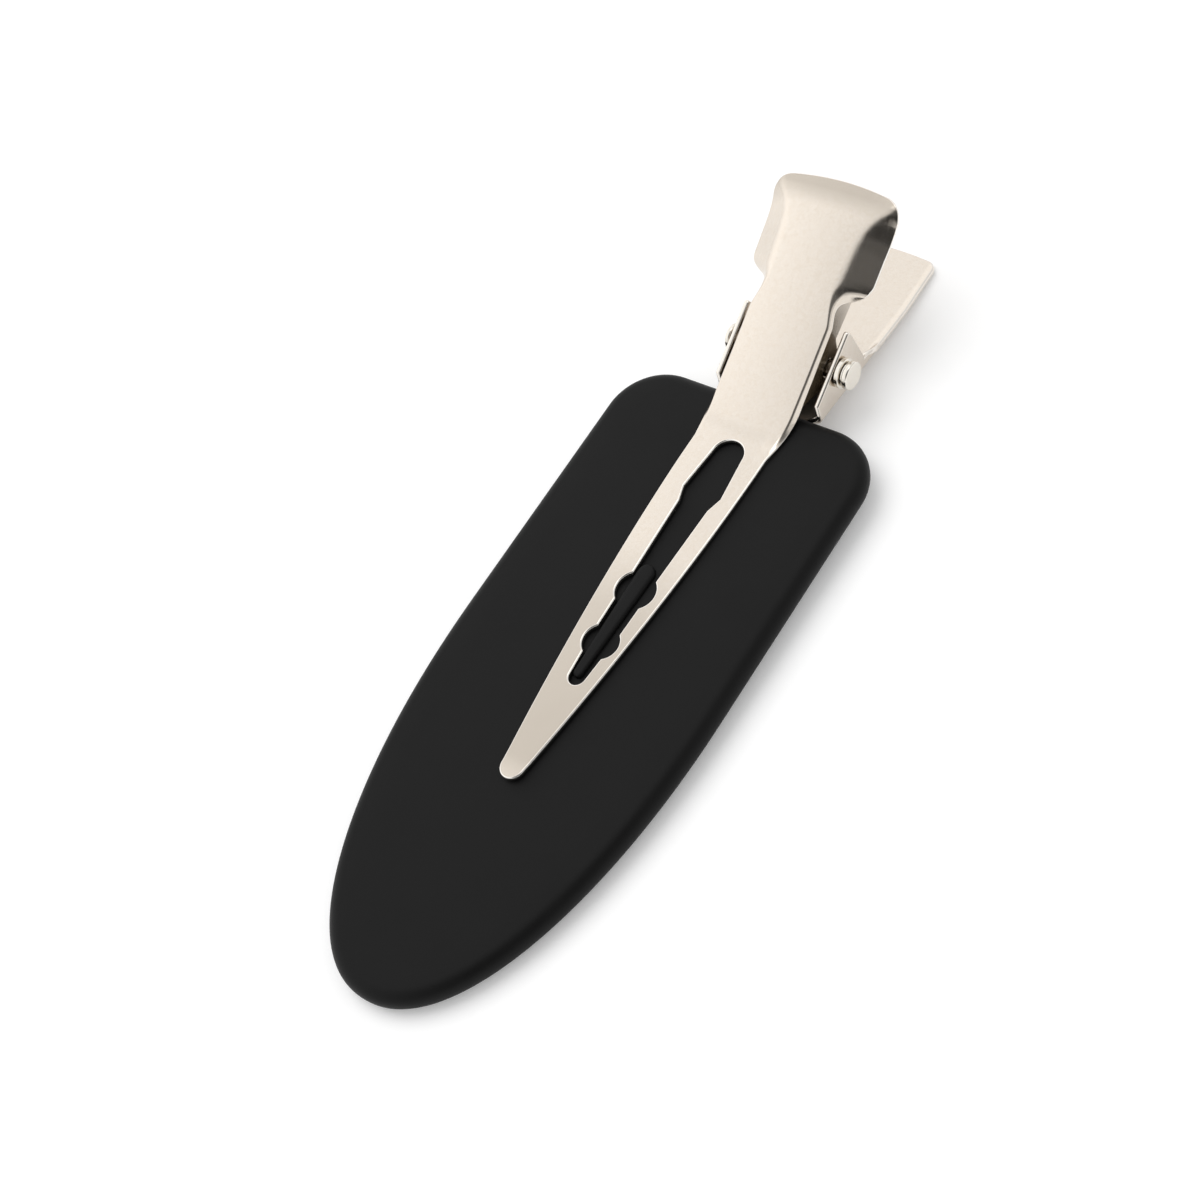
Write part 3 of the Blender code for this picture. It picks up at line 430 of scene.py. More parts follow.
def make_lower_jaw():
    """The strip's path is level in the plate and falls 0.12 behind it; its section goes from flat
    to a channel whose sides rise as ears, and back to a flat tab with edges curled up by 14
    degrees. Rows lie closest where the ears rise and fall."""
    flat = JAW_HALF - JAW_BEND_RADIUS
    bend = JAW_BEND_RADIUS * math.pi / 2
    fall = math.atan(FLOOR_FALL)
    corner = TAB_END - TAB_CORNER
    stops = (TONGUE_START, FLOOR_START - 0.1, CHANNEL, 0.6, 5.2, 7.1, LIP_END, TAB_MIDDLE, corner)
    turn = np.linspace(0, math.radians(88), TAB_STEPS + 1)[1:]
    y = spaced(stops, (5, 3, 24, 24, 60, 30, 16, 12))
    y = np.concatenate([y, corner + (TAB_CORNER - EDGE_ROUND) * np.sin(turn)])
    root, channel = (3.0, 0.3, 0, 3.4), (flat, bend, 90, flat + bend + LIP)
    halves = (TAB_HALF, TAB_END_HALF)
    middle, end = ((half - TAB_EDGE, TAB_EDGE / 2, TAB_CURL, half) for half in halves)
    ears_end = EAR_REAR[0] + 0.3
    sections = (
        (TONGUE_START, *root),
        (FLOOR_START, *root),
        (CHANNEL, *channel),
        (ears_end, *channel),
        (LIP_END - 0.5, *middle),
        (TAB_MIDDLE, *middle),
        (TAB_END, *end),
    )
    shape = between(y, sections, 0.12)
    width = shape[:, 3] - EDGE_ROUND
    ears = flat + bend - JAW_BEND_RADIUS - EDGE_ROUND
    ears = ears + ear_height((y - FLOOR_START) / math.cos(fall))
    width = np.where((y > CHANNEL + 0.1) & (y < ears_end), np.maximum(width, ears), width)
    width[-TAB_STEPS:] = width[-TAB_STEPS] - (TAB_CORNER - EDGE_ROUND) * (1 - np.cos(turn))
    shape[:, 3] = width
    bulge = np.concatenate([np.zeros(len(y) - TAB_STEPS), TAB_BULGE * np.sin(turn)])
    z = TONGUE_FLOOR - FLOOR_FALL * np.clip(y - FLOOR_START, 0, None)
    path = y, z, np.where(y > FLOOR_START, -fall, 0)
    return press(*sheet_grid(path, shape, bulge, 0 * y, (12, 12, 24), up=-1))


nickel = nickel_plate("bright_nickel_on_steel")
points, normals, blocks, marks = make_lower_jaw()
# The brown painted shade thins out before the tab, and the left ear's inner face is free of it.
gap_shade = np.clip((GAP_SHADE_END - points[:, 1]) / GAP_SHADE_FADE, 0, 1) * (points[:, 0] > GAP_SHADE_LEFT)
# The cut edges get half of the paler painted highlight.
marks = {"painted_gap_shade": GAP_SHADE_SHARE * gap_shade * marks[:, 0], "edge": EDGE_HIGHLIGHT_SHARE * marks[:, 1]}
lower_jaw = new_piece("clip_lower_jaw", points, blocks, nickel, normals, **marks)
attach(lower_jaw, "base")
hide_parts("lower_jaw")


# Upper jaw
# One stamping of the same plated strip: a slotted prong that lies on the plate, a body bent up
# over the hinge with two flanges on the pin, and a thumb pad whose sides are pressed down into
# sloping flanks.
PRONG_TOP, PRONG_TIP, PRONG_TIP_RADIUS = 0.55, -36.0, 1.1
PRONG_HEEL, PRONG_HEEL_HALF, PRONG_TAPER, PRONG_LENGTH, PRONG_POWER = -5.5, 3.4, 2.35, 29.4, 1.75
TIP_LIFT, TIP_BEND, TIP_BEND_RUN = math.radians(2.5), -33.7, 0.5
LEVER_BASE, LEVER_RISE, LEVER_BEND = 1.8, 0.45, 7.5
BODY_FRONT, BODY_REAR, BODY_FLAT = -1.3, 5.2, 3.45
BODY_BEND, BODY_BEND_RADIUS, BODY_STUB = 65, 0.25, 0.5
PAD_END, PAD_CORNER, PAD_BULGE, PAD_CREASE, PAD_CREASE_WIDTH = 15.38, 2.1, 0.3, 13.7, 0.8
PAD_FACET_ANGLE, PAD_END_FALL = math.radians(11), math.radians(1)
SLOT_HEAD, SLOT_HEAD_HALF, SLOT_FOOT, SLOT_FOOT_HALF = -4.4, 1.3, -27.45, 0.62
SLOT_STOPS = (-24.6, -22.4, -20.2, -17.5, -10.7, -9.4)
SLOT_HALVES = (0.85, 1.02, 1.08, 1.06, 1.3, 1.7)
NOTCHES, SLOT_OFF, SLOT_OFF_RUN = ((-18.8, 1.65), (-23.6, 1.5)), 0.26, 5
FLANGE_FRONT, FLANGE_REAR, FLANGE_DEPTH, FLANGE_HALF = -0.3, 9.6, 3.5, 3.846
FLANGE_LOBE, PIN_BORE = 1.65, 0.78
NECK_FRONT, NECK_RUN, NECK_STEP = 4.9, 1.5, 0.6
# Places along Y and, at each: the crown of the flat, the width that the right half loses and the
# left gains, and the share of the greyer tone painted as shade.
CROWN = (-30, -8, -1, 2, 12, 14.5), (0.012, 0.018, 0.03, 0.042, 0.042, 0.02)
LOPSIDED = (7.7, 8.7, 11, 14.5), (0, 0.27, 0.27, 0.12)
PAINTED_SHADE_AT = (-36, -34.2, -31, -21, -15, 13.2, 14.8), (0.3, 1, 1, 0.8, 0, 0, 1)
# Where the brown painted shade ends along Y, and the length that it fades over.
BODY_GAP_SHADE, FLANGE_GAP_SHADE = (7.5, 1.5), (6.5, 0.3)
# Place along Y, half the flat, the bend's length, its angle in degrees, the unrolled half width:
# the prong's heel, the body, the neck, the shoulders of the pad, and the pad.
BODY_ARC = BODY_BEND_RADIUS * math.radians(BODY_BEND)
SECTIONS = (
    (-60, 3.1, 0.2, 0, 3.4),
    (-4.9, 3.1, 0.2, 0, 3.4),
    (BODY_FRONT, BODY_FLAT, BODY_ARC, BODY_BEND, BODY_FLAT + BODY_ARC + BODY_STUB),
    (5.4, BODY_FLAT, BODY_ARC, BODY_BEND, BODY_FLAT + BODY_ARC + BODY_STUB - 0.1),
    (6.5, 3.1, 0.4, 68, 3.85),
    (7.0, 2.95, 0.55, 68, 3.9),
    (7.4, 2.85, 0.75, 64, 4.15),
    (7.65, 2.78, 0.9, 58, 4.65),
    (7.95, 2.73, 1.05, 46, 5.25),
    (8.35, 2.7, 1.2, 34, 5.75),
    (8.95, 2.7, 1.2, 31, 6.05),
    (11.2, 2.85, 1.2, 31, 6.05),
    (12.3, 3.1, 1.15, 31, 6.03),
    (13.0, 3.45, 1.1, 31, 6.0),
    (13.6, 3.9, 1.05, 31, 5.95),
    (14.1, 4.4, 1.0, 31, 5.9),
    (15.4, 5.1, 0.7, 31, 5.8),
)


def prong_half(y):
    """The prong's half width, 3.4 mm at its heel, less by the power 1.75 of the share of its
    length."""
    share = np.clip((PRONG_HEEL - y) / PRONG_LENGTH, 0, 1)
    return PRONG_HEEL_HALF - PRONG_TAPER * share**PRONG_POWER


def lever_path(y):
    """Height and slope: level on the plate with the tip lifted, an arc of radius 7.5 mm, a
    straight rise of 0.45, and behind the pad's crease a facet that turns down by 11 degrees within
    0.8 mm and by one more for each millimetre after it. The heights of the tip and the facet are
    the sum of their slopes."""
    climb = math.atan(LEVER_RISE)
    meet = (PRONG_TOP - LEVER_BASE) / LEVER_RISE
    start = meet - LEVER_BEND * math.tan(climb / 2)
    arc = np.arcsin(np.clip((y - start) / LEVER_BEND, 0, math.sin(climb)))
    z = PRONG_TOP + LEVER_BEND * (1 - np.cos(arc))
    past = y > start + LEVER_BEND * math.sin(climb)
    z = np.where(past, LEVER_BASE + LEVER_RISE * y, z)
    behind = y - PAD_CREASE
    turned = np.clip(behind / PAD_CREASE_WIDTH + 0.5, 0, 1)
    slope = arc - PAD_FACET_ANGLE * turned * (3 - turned) / 2
    slope = slope - PAD_END_FALL * np.clip(behind - PAD_CREASE_WIDTH / 2, 0, None)
    lift = TIP_LIFT * np.clip((TIP_BEND - y) / TIP_BEND_RUN, 0, 1)
    bend = np.tan(slope) - np.tan(arc)
    z = z + np.cumsum((bend + np.r_[bend[0], bend[:-1]]) / 2 * np.diff(y, prepend=y[0]))
    raised = np.tan(lift)
    rises = (raised + np.r_[raised[1:], 0]) / 2 * np.diff(y, append=y[-1])
    z = z + np.cumsum(rises[::-1])[::-1]
    return z, slope - lift


def slot_half(y):
    """The slot's half width: round head, shoulders, waist, two round notches and a narrow round
    foot."""
    stops = (SLOT_FOOT, *SLOT_STOPS, SLOT_HEAD - SLOT_HEAD_HALF)
    half = np.interp(y, stops, (SLOT_FOOT_HALF, *SLOT_HALVES, SLOT_HEAD_HALF))
    for middle, radius in NOTCHES:
        half = np.maximum(half, np.sqrt(np.clip(radius**2 - (y - middle) ** 2, 0, None)))
    half = half + EDGE_ROUND
    head = np.clip((SLOT_HEAD + EDGE_ROUND - y) / (SLOT_HEAD_HALF + EDGE_ROUND), 0, 1)
    foot = np.clip((y - SLOT_FOOT + EDGE_ROUND) / (SLOT_FOOT_HALF + EDGE_ROUND), 0, 1)
    return half * np.sqrt(1 - (1 - head) ** 2) * np.sqrt(1 - (1 - foot) ** 2)


def rounded_run(start, end, count):
    """Stations that crowd at start, as an arc's do."""
    return start + (end - start) * (1 - np.cos(np.linspace(0, math.pi / 2, count + 1)))


def corners(outline):
    """An outline of corners (a, b, radius), each with a radius turned into an arc of 5 degree
    steps."""
    done = []
    for i, (a, b, radius) in enumerate(outline):
        corner = np.array([a, b])
        before = unit(np.array(outline[i - 1][:2]) - corner)
        after = unit(np.array(outline[(i + 1) % len(outline)][:2]) - corner)
        if not radius:
            done.append(corner[None])
            continue
        half = math.acos(np.clip(before @ after, -1, 1)) / 2
        centre = corner + unit(before + after) * radius / math.sin(half)
        start, end = (corner + v * radius / math.tan(half) - centre for v in (before, after))
        sweep = math.atan2(start[0] * end[1] - start[1] * end[0], start @ end)
        t = np.linspace(0, sweep, max(3, round(abs(sweep) / math.radians(5))))[:, None]
        done.append(centre + np.cos(t) * start + np.sin(t) * [-start[1], start[0]])
    return np.concatenate(done)


def flange_outline():
    """The flange from the side: hung under the body and the pad's neck, a lobe round the pin, an
    arm to the rear. below() is the place at a depth square to the body under its top at y."""
    climb = math.atan(LEVER_RISE)

    def below(y, depth):
        return y + depth * math.sin(climb), LEVER_BASE + LEVER_RISE * y - depth * math.cos(climb)

    turn = np.radians(np.linspace(215, 350, 28))
    lobe = PIN_PLACE[1:] + FLANGE_LOBE * np.column_stack([np.cos(turn), np.sin(turn)])
    shelf = PIN_PLACE[1:] + FLANGE_LOBE * np.array([1, math.sin(math.radians(45))]) + [2 * SHEET, 0]
    return corners(
        [
            (*below(FLANGE_REAR - 0.5, 0.6), 0.3),
            (*below(BODY_REAR, 0.6), 0),
            (*below(FLANGE_FRONT, 0.7), 0),
            *((*place, 0) for place in lobe),
            (*shelf, 0.45),
            (FLANGE_REAR, LEVER_BASE + LEVER_RISE * FLANGE_REAR - FLANGE_DEPTH, 0.25),
        ]
    )


def under_neck(points):
    """Sets the flanges in under the narrow neck: x moves inward by 0.6 along a smooth step from y
    4.9 to 6.4."""
    t = np.clip((points[:, 1] - NECK_FRONT) / NECK_RUN, 0, 1)
    inward = np.sign(points[:, 0]) * NECK_STEP * t * t * (3 - 2 * t)
    return points - inward[:, None] * [1, 0, 0]


def side_plate(outline, outside, side):
    """A flat upright plate with the pin's bore: its outline (y, z), drawn in by the edge's
    rounding, is filled at x = side * outside."""
    after = np.roll(outline, -1, axis=0)
    ahead = unit(after - outline)
    along = unit(ahead + np.roll(ahead, 1, axis=0))
    area = np.sum(outline[:, 0] * after[:, 1] - outline[:, 1] * after[:, 0])
    inward = np.column_stack([-along[:, 1], along[:, 0]]) * math.copysign(EDGE_ROUND, area)
    outline = outline + inward
    turn = np.linspace(0, 2 * math.pi, 37)[:-1]
    bore = PIN_PLACE[1:] + (PIN_BORE + EDGE_ROUND) * np.column_stack([np.cos(turn), np.sin(turn)])
    flat = np.concatenate([outline, bore])
    loops = [[Vector((*p, 0)) for p in loop] for loop in (outline, bore)]
    faces = np.array(geometry.tessellate_polygon(loops))
    a, b, c = (flat[faces[:, k]] for k in range(3))
    area = (b[:, 0] - a[:, 0]) * (c[:, 1] - a[:, 1]) - (b[:, 1] - a[:, 1]) * (c[:, 0] - a[:, 0])
    turned = (area < 0) == (side > 0)
    faces[turned] = faces[turned][:, ::-1]
    points = np.column_stack([np.full(len(flat), side * outside), flat])
    return press(points, np.tile([side, 0.0, 0.0], (len(points), 1)), faces[np.abs(area) > 1e-9])


def make_upper_jaw():
    """Rows of the folded strip from the prong's round tip to the pad's end, open where the slot
    is, and the two flanges. Rows lie closest round the tip, the slot's ends and notches and the
    pad's shoulders."""
    tip, tip_radius = PRONG_TIP + PRONG_TIP_RADIUS, PRONG_TIP_RADIUS - EDGE_ROUND
    corner, corner_radius = PAD_END - PAD_CORNER, PAD_CORNER - EDGE_ROUND
    tip_turn = np.linspace(math.radians(2), math.pi / 2, 24)
    turn = np.linspace(0, math.radians(88), 31)[1:]
    foot, foot_in = SLOT_FOOT - EDGE_ROUND, SLOT_FOOT + SLOT_FOOT_HALF
    head, head_in = SLOT_HEAD + EDGE_ROUND, SLOT_HEAD - SLOT_HEAD_HALF
    slot_stops = (foot_in, -25.2, -21.8, -20.6, -17.0, -10.7, -9.4, head_in)
    rear_stops = (head, BODY_FRONT, BODY_REAR, 6.4, 9.6, corner)
    runs = (
        np.linspace(tip, foot, 24),
        rounded_run(foot, foot_in, 12),
        spaced(slot_stops, (6, 60, 4, 60, 14, 6, 10)),
        rounded_run(head, head_in, 16)[::-1],
        spaced(rear_stops, (24, 14, 12, 60, 24)),
        np.r_[corner, corner + corner_radius * np.sin(turn)],
    )
    y = np.concatenate([tip - tip_radius * np.cos(tip_turn), *(run[1:] for run in runs)])
    shape = between(y, SECTIONS, 0.22)
    width = shape[:, 3] - EDGE_ROUND
    prong = y < PRONG_HEEL
    width[prong] = prong_half(y[prong]) - EDGE_ROUND
    width[: len(tip_turn)] = (prong_half(tip) - EDGE_ROUND) * np.sin(tip_turn)
    width[-len(turn) :] = width[-len(turn) - 1] - corner_radius * (1 - np.cos(turn))
    shape[:, 3] = width
    bulge = np.concatenate([np.zeros(len(y) - len(turn)), PAD_BULGE * np.sin(turn)])
    off = SLOT_OFF * np.clip((y - PRONG_TIP) / SLOT_OFF_RUN, 0, 1)
    uneven = {"crown": np.interp(y, *CROWN), "off": off, "lopsided": np.interp(y, *LOPSIDED)}
    path = y, *lever_path(y)
    strip = sheet_grid(path, shape, bulge, slot_half(y), (14, 12, 8), **uneven)
    sides = [side_plate(flange_outline(), FLANGE_HALF, side) for side in (1, -1)]
    return press(*strip), *((under_neck(side[0]), *side[1:]) for side in sides)


parts = make_upper_jaw()
points, normals, marks = (np.concatenate([part[k] for part in parts]) for k in (0, 1, 3))
starts = np.cumsum([0, *(len(part[0]) for part in parts)])
blocks = [block + start for part, start in zip(parts, starts) for block in part[2]]
# Brown painted shade covers the body's inner face and both faces of the flanges, and ends before
# the neck.
y, strip = points[:, 1], np.arange(len(points)) < starts[1]
body_gap_shade, flange_gap_shade = (np.clip((end - y) / fade, 0, 1) for end, fade in (BODY_GAP_SHADE, FLANGE_GAP_SHADE))
body_gap_shade = body_gap_shade * marks[:, 0] * (y > BODY_FRONT)
# On this jaw the cut edges get the full paler painted highlight.
marks = {"painted_gap_shade": np.where(strip, body_gap_shade, flange_gap_shade), "edge": marks[:, 1]}
# The greyer tone, from the prong's tip back to y = -15 and at the pad's end, is painted shade.
marks["painted_shade"] = np.interp(y, *PAINTED_SHADE_AT)
upper_jaw = new_piece("clip_upper_jaw", points, blocks, nickel, normals, **marks)
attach(upper_jaw, "lever")
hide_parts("upper_jaw")


# Pivot pin and its washer
# A turned steel rivet, nickel plated: a low flat head outside the left ear, a shoulder and a
# formed end outside the right one, with a loose thin washer between that end and the ear.
SHANK, LEFT_HEAD, RIGHT_HEAD, SHOULDER = 0.7, (1.1, 0.42), (1.15, 0.5), (1.0, 0.1)
WASHER, WASHER_THICK, WASHER_BORE, WASHER_BEVEL = 1.22, 0.4, 0.8, (0.06, 0.08)
PLAY, HEAD_ROUND, ROUND_STEPS = 0.1, 0.15, 64
POLISHED = "#E9E4DB"


def face_outward(obj, weld=0.0):
    """Welds points closer than weld, in metres, and turns every face outward."""
    made = bmesh.new()
    made.from_mesh(obj.data)
    if weld:
        bmesh.ops.remove_doubles(made, verts=made.verts, dist=weld)
    bmesh.ops.recalc_face_normals(made, faces=made.faces)
    made.to_mesh(obj.data)
    made.free()


def turn_on_pin(name, profile, material, closed=False):
    """A surface of revolution about the pin's axis from a profile (x, radius), its ends on the
    axis or, when closed, joined to each other round a bore."""
    profile = np.array(profile)
    if closed:
        profile = np.vstack([profile, profile[:1]])
    turn = np.linspace(0, 2 * math.pi, ROUND_STEPS + 1)
    x, r = profile[:, 0, None], profile[:, 1, None]
    points = np.stack([x + 0 * turn, r * np.cos(turn), r * np.sin(turn)], axis=-1) + PIN_PLACE
    index = np.arange(points.size // 3).reshape(points.shape[:2])
    obj = new_piece(name, points.reshape(-1, 3), [quads(index)[:, ::-1]], material)
    face_outward(obj, weld=1e-7)
    obj.data.shade_smooth()
    obj.data.set_sharp_from_angle(angle=math.radians(40))
    return obj


def head_profile(start, end, radius):
    """A flat head from start to end with quarter-round rims, from its back to the middle of its
    face."""
    t = np.radians(np.linspace(0, 90, 8))
    rim = start + math.copysign(HEAD_ROUND, end - start) * (1 - np.cos(t))
    out = radius - HEAD_ROUND * (1 - np.sin(t))
    face = np.linspace(radius - HEAD_ROUND, 0, 10)[1:]
    x = np.r_[rim, (start + end - rim)[::-1], 0 * face + end]
    return np.column_stack([x, np.r_[out, out[::-1], face]])


polished = nickel_plate("polished_nickel_pin", POLISHED, (0.1, 0.17), 0.1)
left_ear, right_ear = -JAW_HALF - PLAY, JAW_HALF + 2 * PLAY + WASHER_THICK
neck_end = right_ear + SHOULDER[1]
left = head_profile(left_ear, left_ear - LEFT_HEAD[1], LEFT_HEAD[0])[::-1]
right = head_profile(neck_end, neck_end + RIGHT_HEAD[1], RIGHT_HEAD[0])
shank = [(left_ear, SHANK), (right_ear, SHANK), (right_ear, SHOULDER[0]), (neck_end, SHOULDER[0])]
pin = turn_on_pin("clip_pivot_pin", np.vstack([left, shank, right]), polished)
low = JAW_HALF + PLAY
high = low + WASHER_THICK
flat_end, flat_rim = WASHER - WASHER_BEVEL[1], WASHER_BEVEL[0]
ring = [(low, WASHER_BORE), (low, flat_end), (low + flat_rim, WASHER)]
ring += [(high - flat_rim, WASHER), (high, flat_end), (high, WASHER_BORE)]
washer = turn_on_pin("clip_pin_washer", ring, polished, closed=True)
for piece, node in ((pin, "pivot_pin"), (washer, "pin_washer")):
    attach(piece, "base")
    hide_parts(node)


# Torsion spring
# Drawn spring steel wire of 0.7 mm, coiled about four times round the pin between the flanges. One
# leg presses up under the thumb pad, the other down on the lower jaw's floor.
WIRE, COIL_RADIUS, COIL_TURNS, COIL_LENGTH = 0.7, 1.3, 4, 4.8
LEG, FLOOR_LEG = 6.2, math.radians(-12)
COIL_STEPS, LEG_STEPS, WIRE_STEPS, END_STEPS = 40, 12, 16, (0.35, 0.75, 0.95)
# Two dark tones of painted shade for the wire in the gap between the flanges.
WIRE_SHADE_DARK, WIRE_SHADE_PATCH = "#3E3830", "#4A433A"


def drawn_wire(name):
    """Drawn wire, half dull, in two dark brownish greys that are painted shade for the gap it lies
    in.
    Its die lines are too fine to show and are drawn as a soft unevenness of about half a
    millimetre."""
    material, tree, shader, place = new_finish(name)
    patchy = add(tree, "ShaderNodeTexNoise", Vector=place, Scale=per_mm(1.8), Detail=3)
    colours = {"i6": linear(WIRE_SHADE_DARK), "i7": linear(WIRE_SHADE_PATCH)}
    tone = add(tree, "ShaderNodeMix", {"data_type": "RGBA"}, i0=patchy.outputs["Fac"], **colours)
    tree.links.new(tone.outputs[2], shader.inputs["Base Color"])
    shader.inputs["Metallic"].default_value = 1
    shader.inputs["Roughness"].default_value = 0.32
    return material


def make_spring():
    """A circle of the wire's radius carried along a leg, a helix about the pin and the other leg.
    Shrinking circles and a point close each end."""
    climb = math.atan(LEVER_RISE)
    first = math.pi / 2 + climb
    last = 1.5 * math.pi + FLOOR_LEG + 2 * math.pi * COIL_TURNS
    turn = np.linspace(first, last, COIL_STEPS * COIL_TURNS + 1)
    x = COIL_LENGTH / 2 - COIL_LENGTH * (turn - first) / (last - first)
    coil = np.stack([x, COIL_RADIUS * np.cos(turn), COIL_RADIUS * np.sin(turn)], axis=1)
    reach = np.linspace(LEG, 0, LEG_STEPS + 1)[:-1, None]
    upper = coil[0] + reach * [0, math.cos(climb), math.sin(climb)]
    lower = coil[-1] + reach[::-1] * [0, math.cos(FLOOR_LEG), math.sin(FLOOR_LEG)]
    path = np.concatenate([upper, coil, lower])
    ahead = unit(np.gradient(path, axis=0))
    side = unit(np.cross(ahead, np.array([1.0, 0, 0])))
    other = np.cross(ahead, side)
    t = np.linspace(0, 2 * math.pi, WIRE_STEPS + 1)[:-1, None, None]
    hoops = (WIRE / 2 * (np.cos(t) * side + np.sin(t) * other)).transpose(1, 0, 2)
    share = np.array(END_STEPS)[:, None, None]
    ends = []
    for at, way in ((0, -1), (-1, 1)):
        out = way * ahead[at] * WIRE / 4
        ends.append(path[at] + out * share + hoops[at] * np.sqrt(1 - share**2))
        ends.append(path[at] + out)
    tube = np.concatenate([ends[0][::-1], path[:, None] + hoops, ends[2]])
    index = np.arange(tube.size // 3).reshape(-1, WIRE_STEPS)
    pole, after = np.full(WIRE_STEPS, index.size), np.roll(index, -1, axis=1)
    first_fan = np.column_stack([pole, after[0], index[0]])
    last_fan = np.column_stack([pole + 1, index[-1], after[-1]])
    points = np.concatenate([tube.reshape(-1, 3), [ends[1], ends[3]]]) + PIN_PLACE
    return points, [quads(np.column_stack([index, index[:, 0]])), first_fan, last_fan]


spring = new_piece("clip_torsion_spring", *make_spring(), drawn_wire("spring_wire_painted_shade"))
face_outward(spring)
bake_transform(spring)
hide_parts("torsion_spring")


# Table and light
# White paper under one wide soft lamp at the upper left, in an even white room. What the metal
# mirrors is that room with brighter windows on the left, a lamp overhead and a dark side near the
# camera.
PAPER, PAPER_FIBRE = "#F4F4F4", "#F7F7F7"
ROOM_LEVEL, LAMP_PLACE, LAMP_SIZE, LAMP_POWER = 0.76, Vector((-0.3, 0.05, 0.6)), 0.6, 1.7
CEILING_LAMP, DARK_SIDE = (0.0, 0.27, 0.96), (0.62, -0.38, 0.68)


def seen_directly(tree):
    """1 where the camera, a mirror or a glass looks, 0 for light that falls on things."""
    path = add(tree, "ShaderNodeLightPath").outputs
    seen = path["Is Camera Ray"]
    for ray in ("Is Glossy Ray", "Is Transmission Ray"):
        most = add(tree, "ShaderNodeMath", {"operation": "MAXIMUM"}, i0=seen, i1=path[ray])
        seen = most.outputs[0]
    return seen


def make_floor():
    """A white sheet 4 m wide with a faint fibre of a millimetre. Where it is looked at, a glow
    lifts it to the photograph's white, more so from 0.15 to 0.6 m away from the clip."""
    mesh = bpy.data.meshes.new("white_paper")
    mesh.from_pydata([(-2, -2, 0), (2, -2, 0), (2, 2, 0), (-2, 2, 0)], [], [(0, 1, 2, 3)])
    material, tree, shader, place = new_finish("white_paper")
    shader.inputs["Roughness"].default_value = 0.9
    shader.inputs["Specular IOR Level"].default_value = 0.1
    fibre = add(tree, "ShaderNodeTexNoise", Vector=place, Scale=per_mm(0.9), Detail=3)
    colours = {"i6": linear(PAPER), "i7": linear(PAPER_FIBRE)}
    tone = add(tree, "ShaderNodeMix", {"data_type": "RGBA"}, i0=fibre.outputs["Fac"], **colours)
    tree.links.new(tone.outputs[2], shader.inputs["Base Color"])
    away = add(tree, "ShaderNodeVectorMath", {"operation": "LENGTH"}, i0=place).outputs["Value"]
    more = add(tree, "ShaderNodeMapRange", i0=away, i1=0.15, i2=0.6, i3=0.15, i4=0.34)
    glow = add(tree, "ShaderNodeEmission", Color=(1, 1, 1, 1), Strength=more.outputs[0])
    both = add(tree, "ShaderNodeAddShader", i0=shader.outputs[0], i1=glow.outputs[0])
    seen = seen_directly(tree)
    pick = add(tree, "ShaderNodeMixShader", i0=seen, i1=shader.outputs[0], i2=both.outputs[0])
    tree.links.new(pick.outputs[0], tree.nodes["Material Output"].inputs["Surface"])
    mesh.materials.append(material)
    floor = bpy.data.objects.new("white_paper", mesh)
    bpy.context.scene.collection.objects.link(floor)


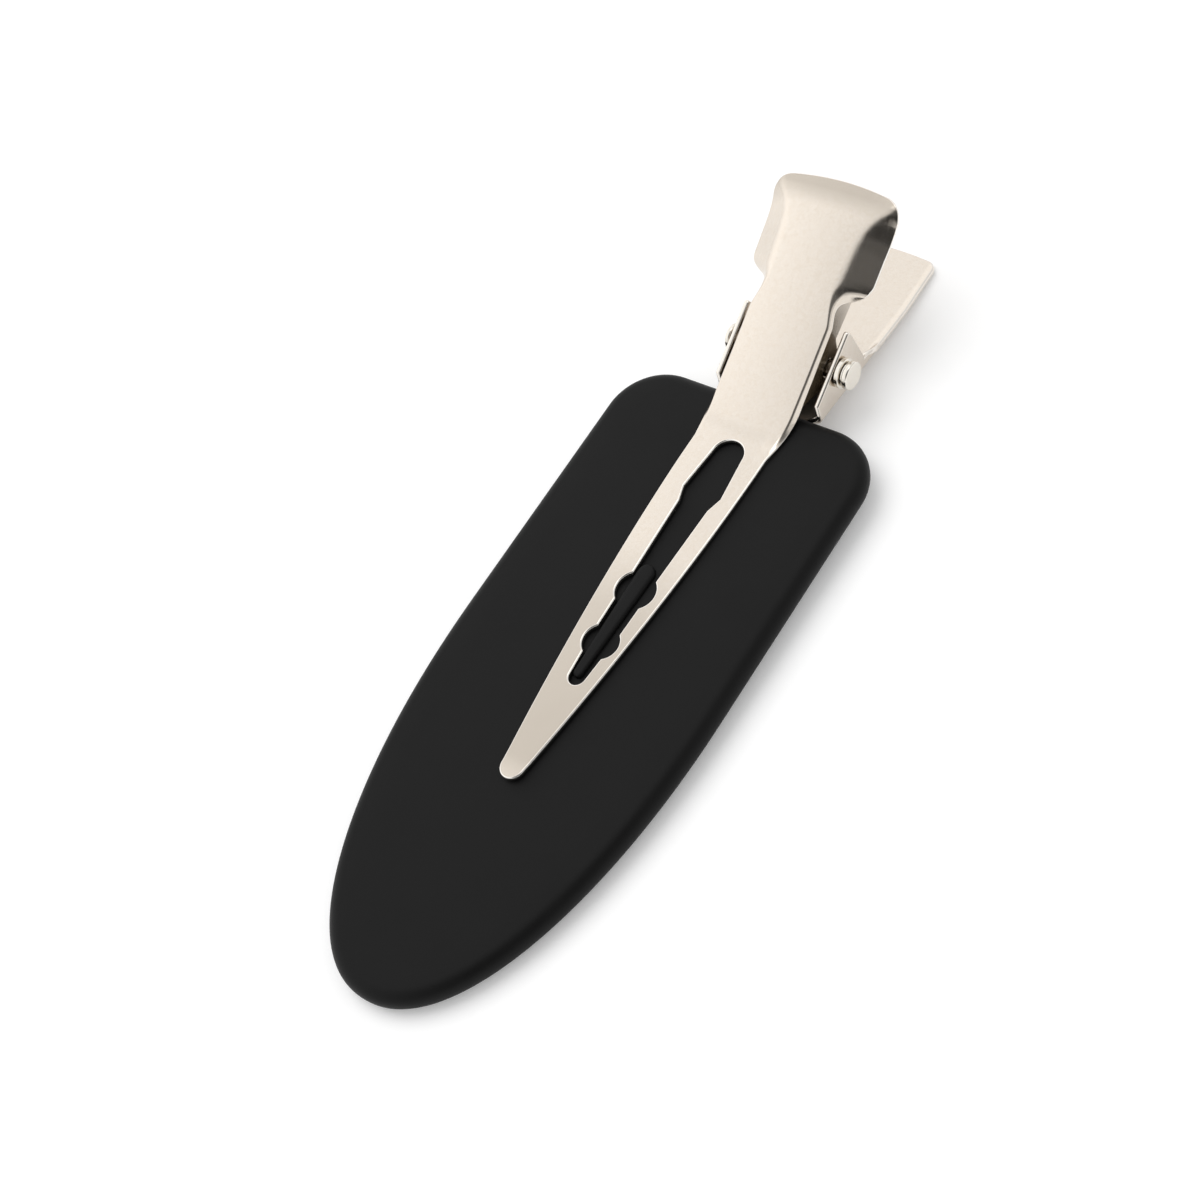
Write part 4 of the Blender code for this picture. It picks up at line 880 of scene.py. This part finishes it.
def make_room():
    """The world is white to the camera and to glass and lights the object evenly. For mirrors it
    brightens from the right to the windows on the left and falls off a little towards the floor. A
    stripe of its ceiling is slightly greyer, a lamp hangs overhead, and one side is dark, darkest
    at the front."""
    room = bpy.data.worlds.new("white_room")
    room.use_nodes = True
    tree = room.node_tree
    way = add(tree, "ShaderNodeTexCoord").outputs["Generated"]
    part = add(tree, "ShaderNodeSeparateXYZ", Vector=way).outputs
    soft = {"interpolation_type": "SMOOTHSTEP"}
    side = add(tree, "ShaderNodeMapRange", i0=part["X"], i1=-0.9, i2=0.1, i3=1.4, i4=0.86)
    off = add(tree, "ShaderNodeMath", {"operation": "SUBTRACT"}, i0=part["Y"], i1=0.16)
    off = add(tree, "ShaderNodeMath", {"operation": "ABSOLUTE"}, i0=off.outputs[0]).outputs[0]
    stripe = add(tree, "ShaderNodeMapRange", soft, i0=off, i1=0.03, i2=0.16, i3=0.94, i4=1.0)
    low = add(tree, "ShaderNodeMapRange", soft, i0=part["Z"], i1=0.0, i2=0.45, i3=0.8, i4=1.0)
    dot = {"operation": "DOT_PRODUCT"}
    above = add(tree, "ShaderNodeVectorMath", dot, i0=way, i1=CEILING_LAMP).outputs["Value"]
    lamp = add(tree, "ShaderNodeMapRange", soft, i0=above, i1=0.94, i2=0.985, i3=0.0, i4=1.3)
    seen = side.outputs[0]
    for step, other in (("MULTIPLY", stripe), ("MULTIPLY", low), ("ADD", lamp)):
        made = add(tree, "ShaderNodeMath", {"operation": step}, i0=seen, i1=other.outputs[0])
        seen = made.outputs[0]
    near = add(tree, "ShaderNodeVectorMath", dot, i0=way, i1=DARK_SIDE).outputs["Value"]
    behind = add(tree, "ShaderNodeMapRange", soft, i0=near, i1=0.76, i2=0.9, i3=0.0, i4=1.0)
    dark = add(tree, "ShaderNodeMapRange", soft, i0=part["Y"], i1=-0.6, i2=-0.2, i3=0.03, i4=0.13)
    seen = add(tree, "ShaderNodeMix", i0=behind.outputs[0], i2=seen, i3=dark.outputs[0])
    path = add(tree, "ShaderNodeLightPath").outputs
    level = add(tree, "ShaderNodeMix", i0=path["Is Glossy Ray"], i2=ROOM_LEVEL, i3=seen.outputs[0])
    for ray in ("Is Camera Ray", "Is Transmission Ray"):
        level = add(tree, "ShaderNodeMix", i0=path[ray], i2=level.outputs[0], i3=1.0)
    shade = tree.nodes["Background"].inputs
    shade["Color"].default_value = (1, 1, 1, 1)
    tree.links.new(level.outputs[0], shade["Strength"])
    bpy.context.scene.world = room


def make_lamp():
    """A disk that faces the clip and is hidden from mirrors."""
    light = bpy.data.lights.new("wide_soft_light", "AREA")
    light.shape, light.size, light.energy = "DISK", LAMP_SIZE, LAMP_POWER
    lamp = bpy.data.objects.new("wide_soft_light", light)
    bpy.context.scene.collection.objects.link(lamp)
    turn = (-LAMP_PLACE).to_track_quat("-Z", "Y").to_matrix().to_4x4()
    lamp.matrix_world = Matrix.Translation(LAMP_PLACE) @ turn
    lamp.visible_glossy = False


make_floor()
make_room()
make_lamp()


# Camera
# It looks down at about 54 degrees from the pin's side of the plate, turned so that the clip lies
# diagonally, with the 54 mm lens that the plate's foreshortening gives.
AZIMUTH, ELEVATION, ROLL = (math.radians(a) for a in (62.92, 53.604, -33.331))
CAMERA_PLACE = np.array([70.141 - METAL_SHIFT, -57.151, 109.277])
LENS, SENSOR, NEAREST = 54, 36, 0.01


def make_camera():
    """Its back, right and up come from azimuth and elevation; the roll then turns right and up."""
    sa, ca, se, ce = math.sin(AZIMUTH), math.cos(AZIMUTH), math.sin(ELEVATION), math.cos(ELEVATION)
    back = np.array([sa * ce, -ca * ce, se])
    right = np.array([ca, sa, 0])
    up = np.cross(back, right)
    cr, sr = math.cos(ROLL), math.sin(ROLL)
    axes = np.stack([cr * right + sr * up, -sr * right + cr * up, back]) @ LEAN.T
    data = bpy.data.cameras.new("camera")
    data.lens, data.sensor_width, data.clip_start = LENS, SENSOR, NEAREST
    camera = bpy.data.objects.new("camera", data)
    place = Matrix(axes.T.tolist()).to_4x4()
    place.translation = lie(CAMERA_PLACE).tolist()
    camera.matrix_world = place
    bpy.context.scene.collection.objects.link(camera)
    bpy.context.scene.camera = camera


make_camera()
bpy.context.scene.view_settings.view_transform = "Standard"
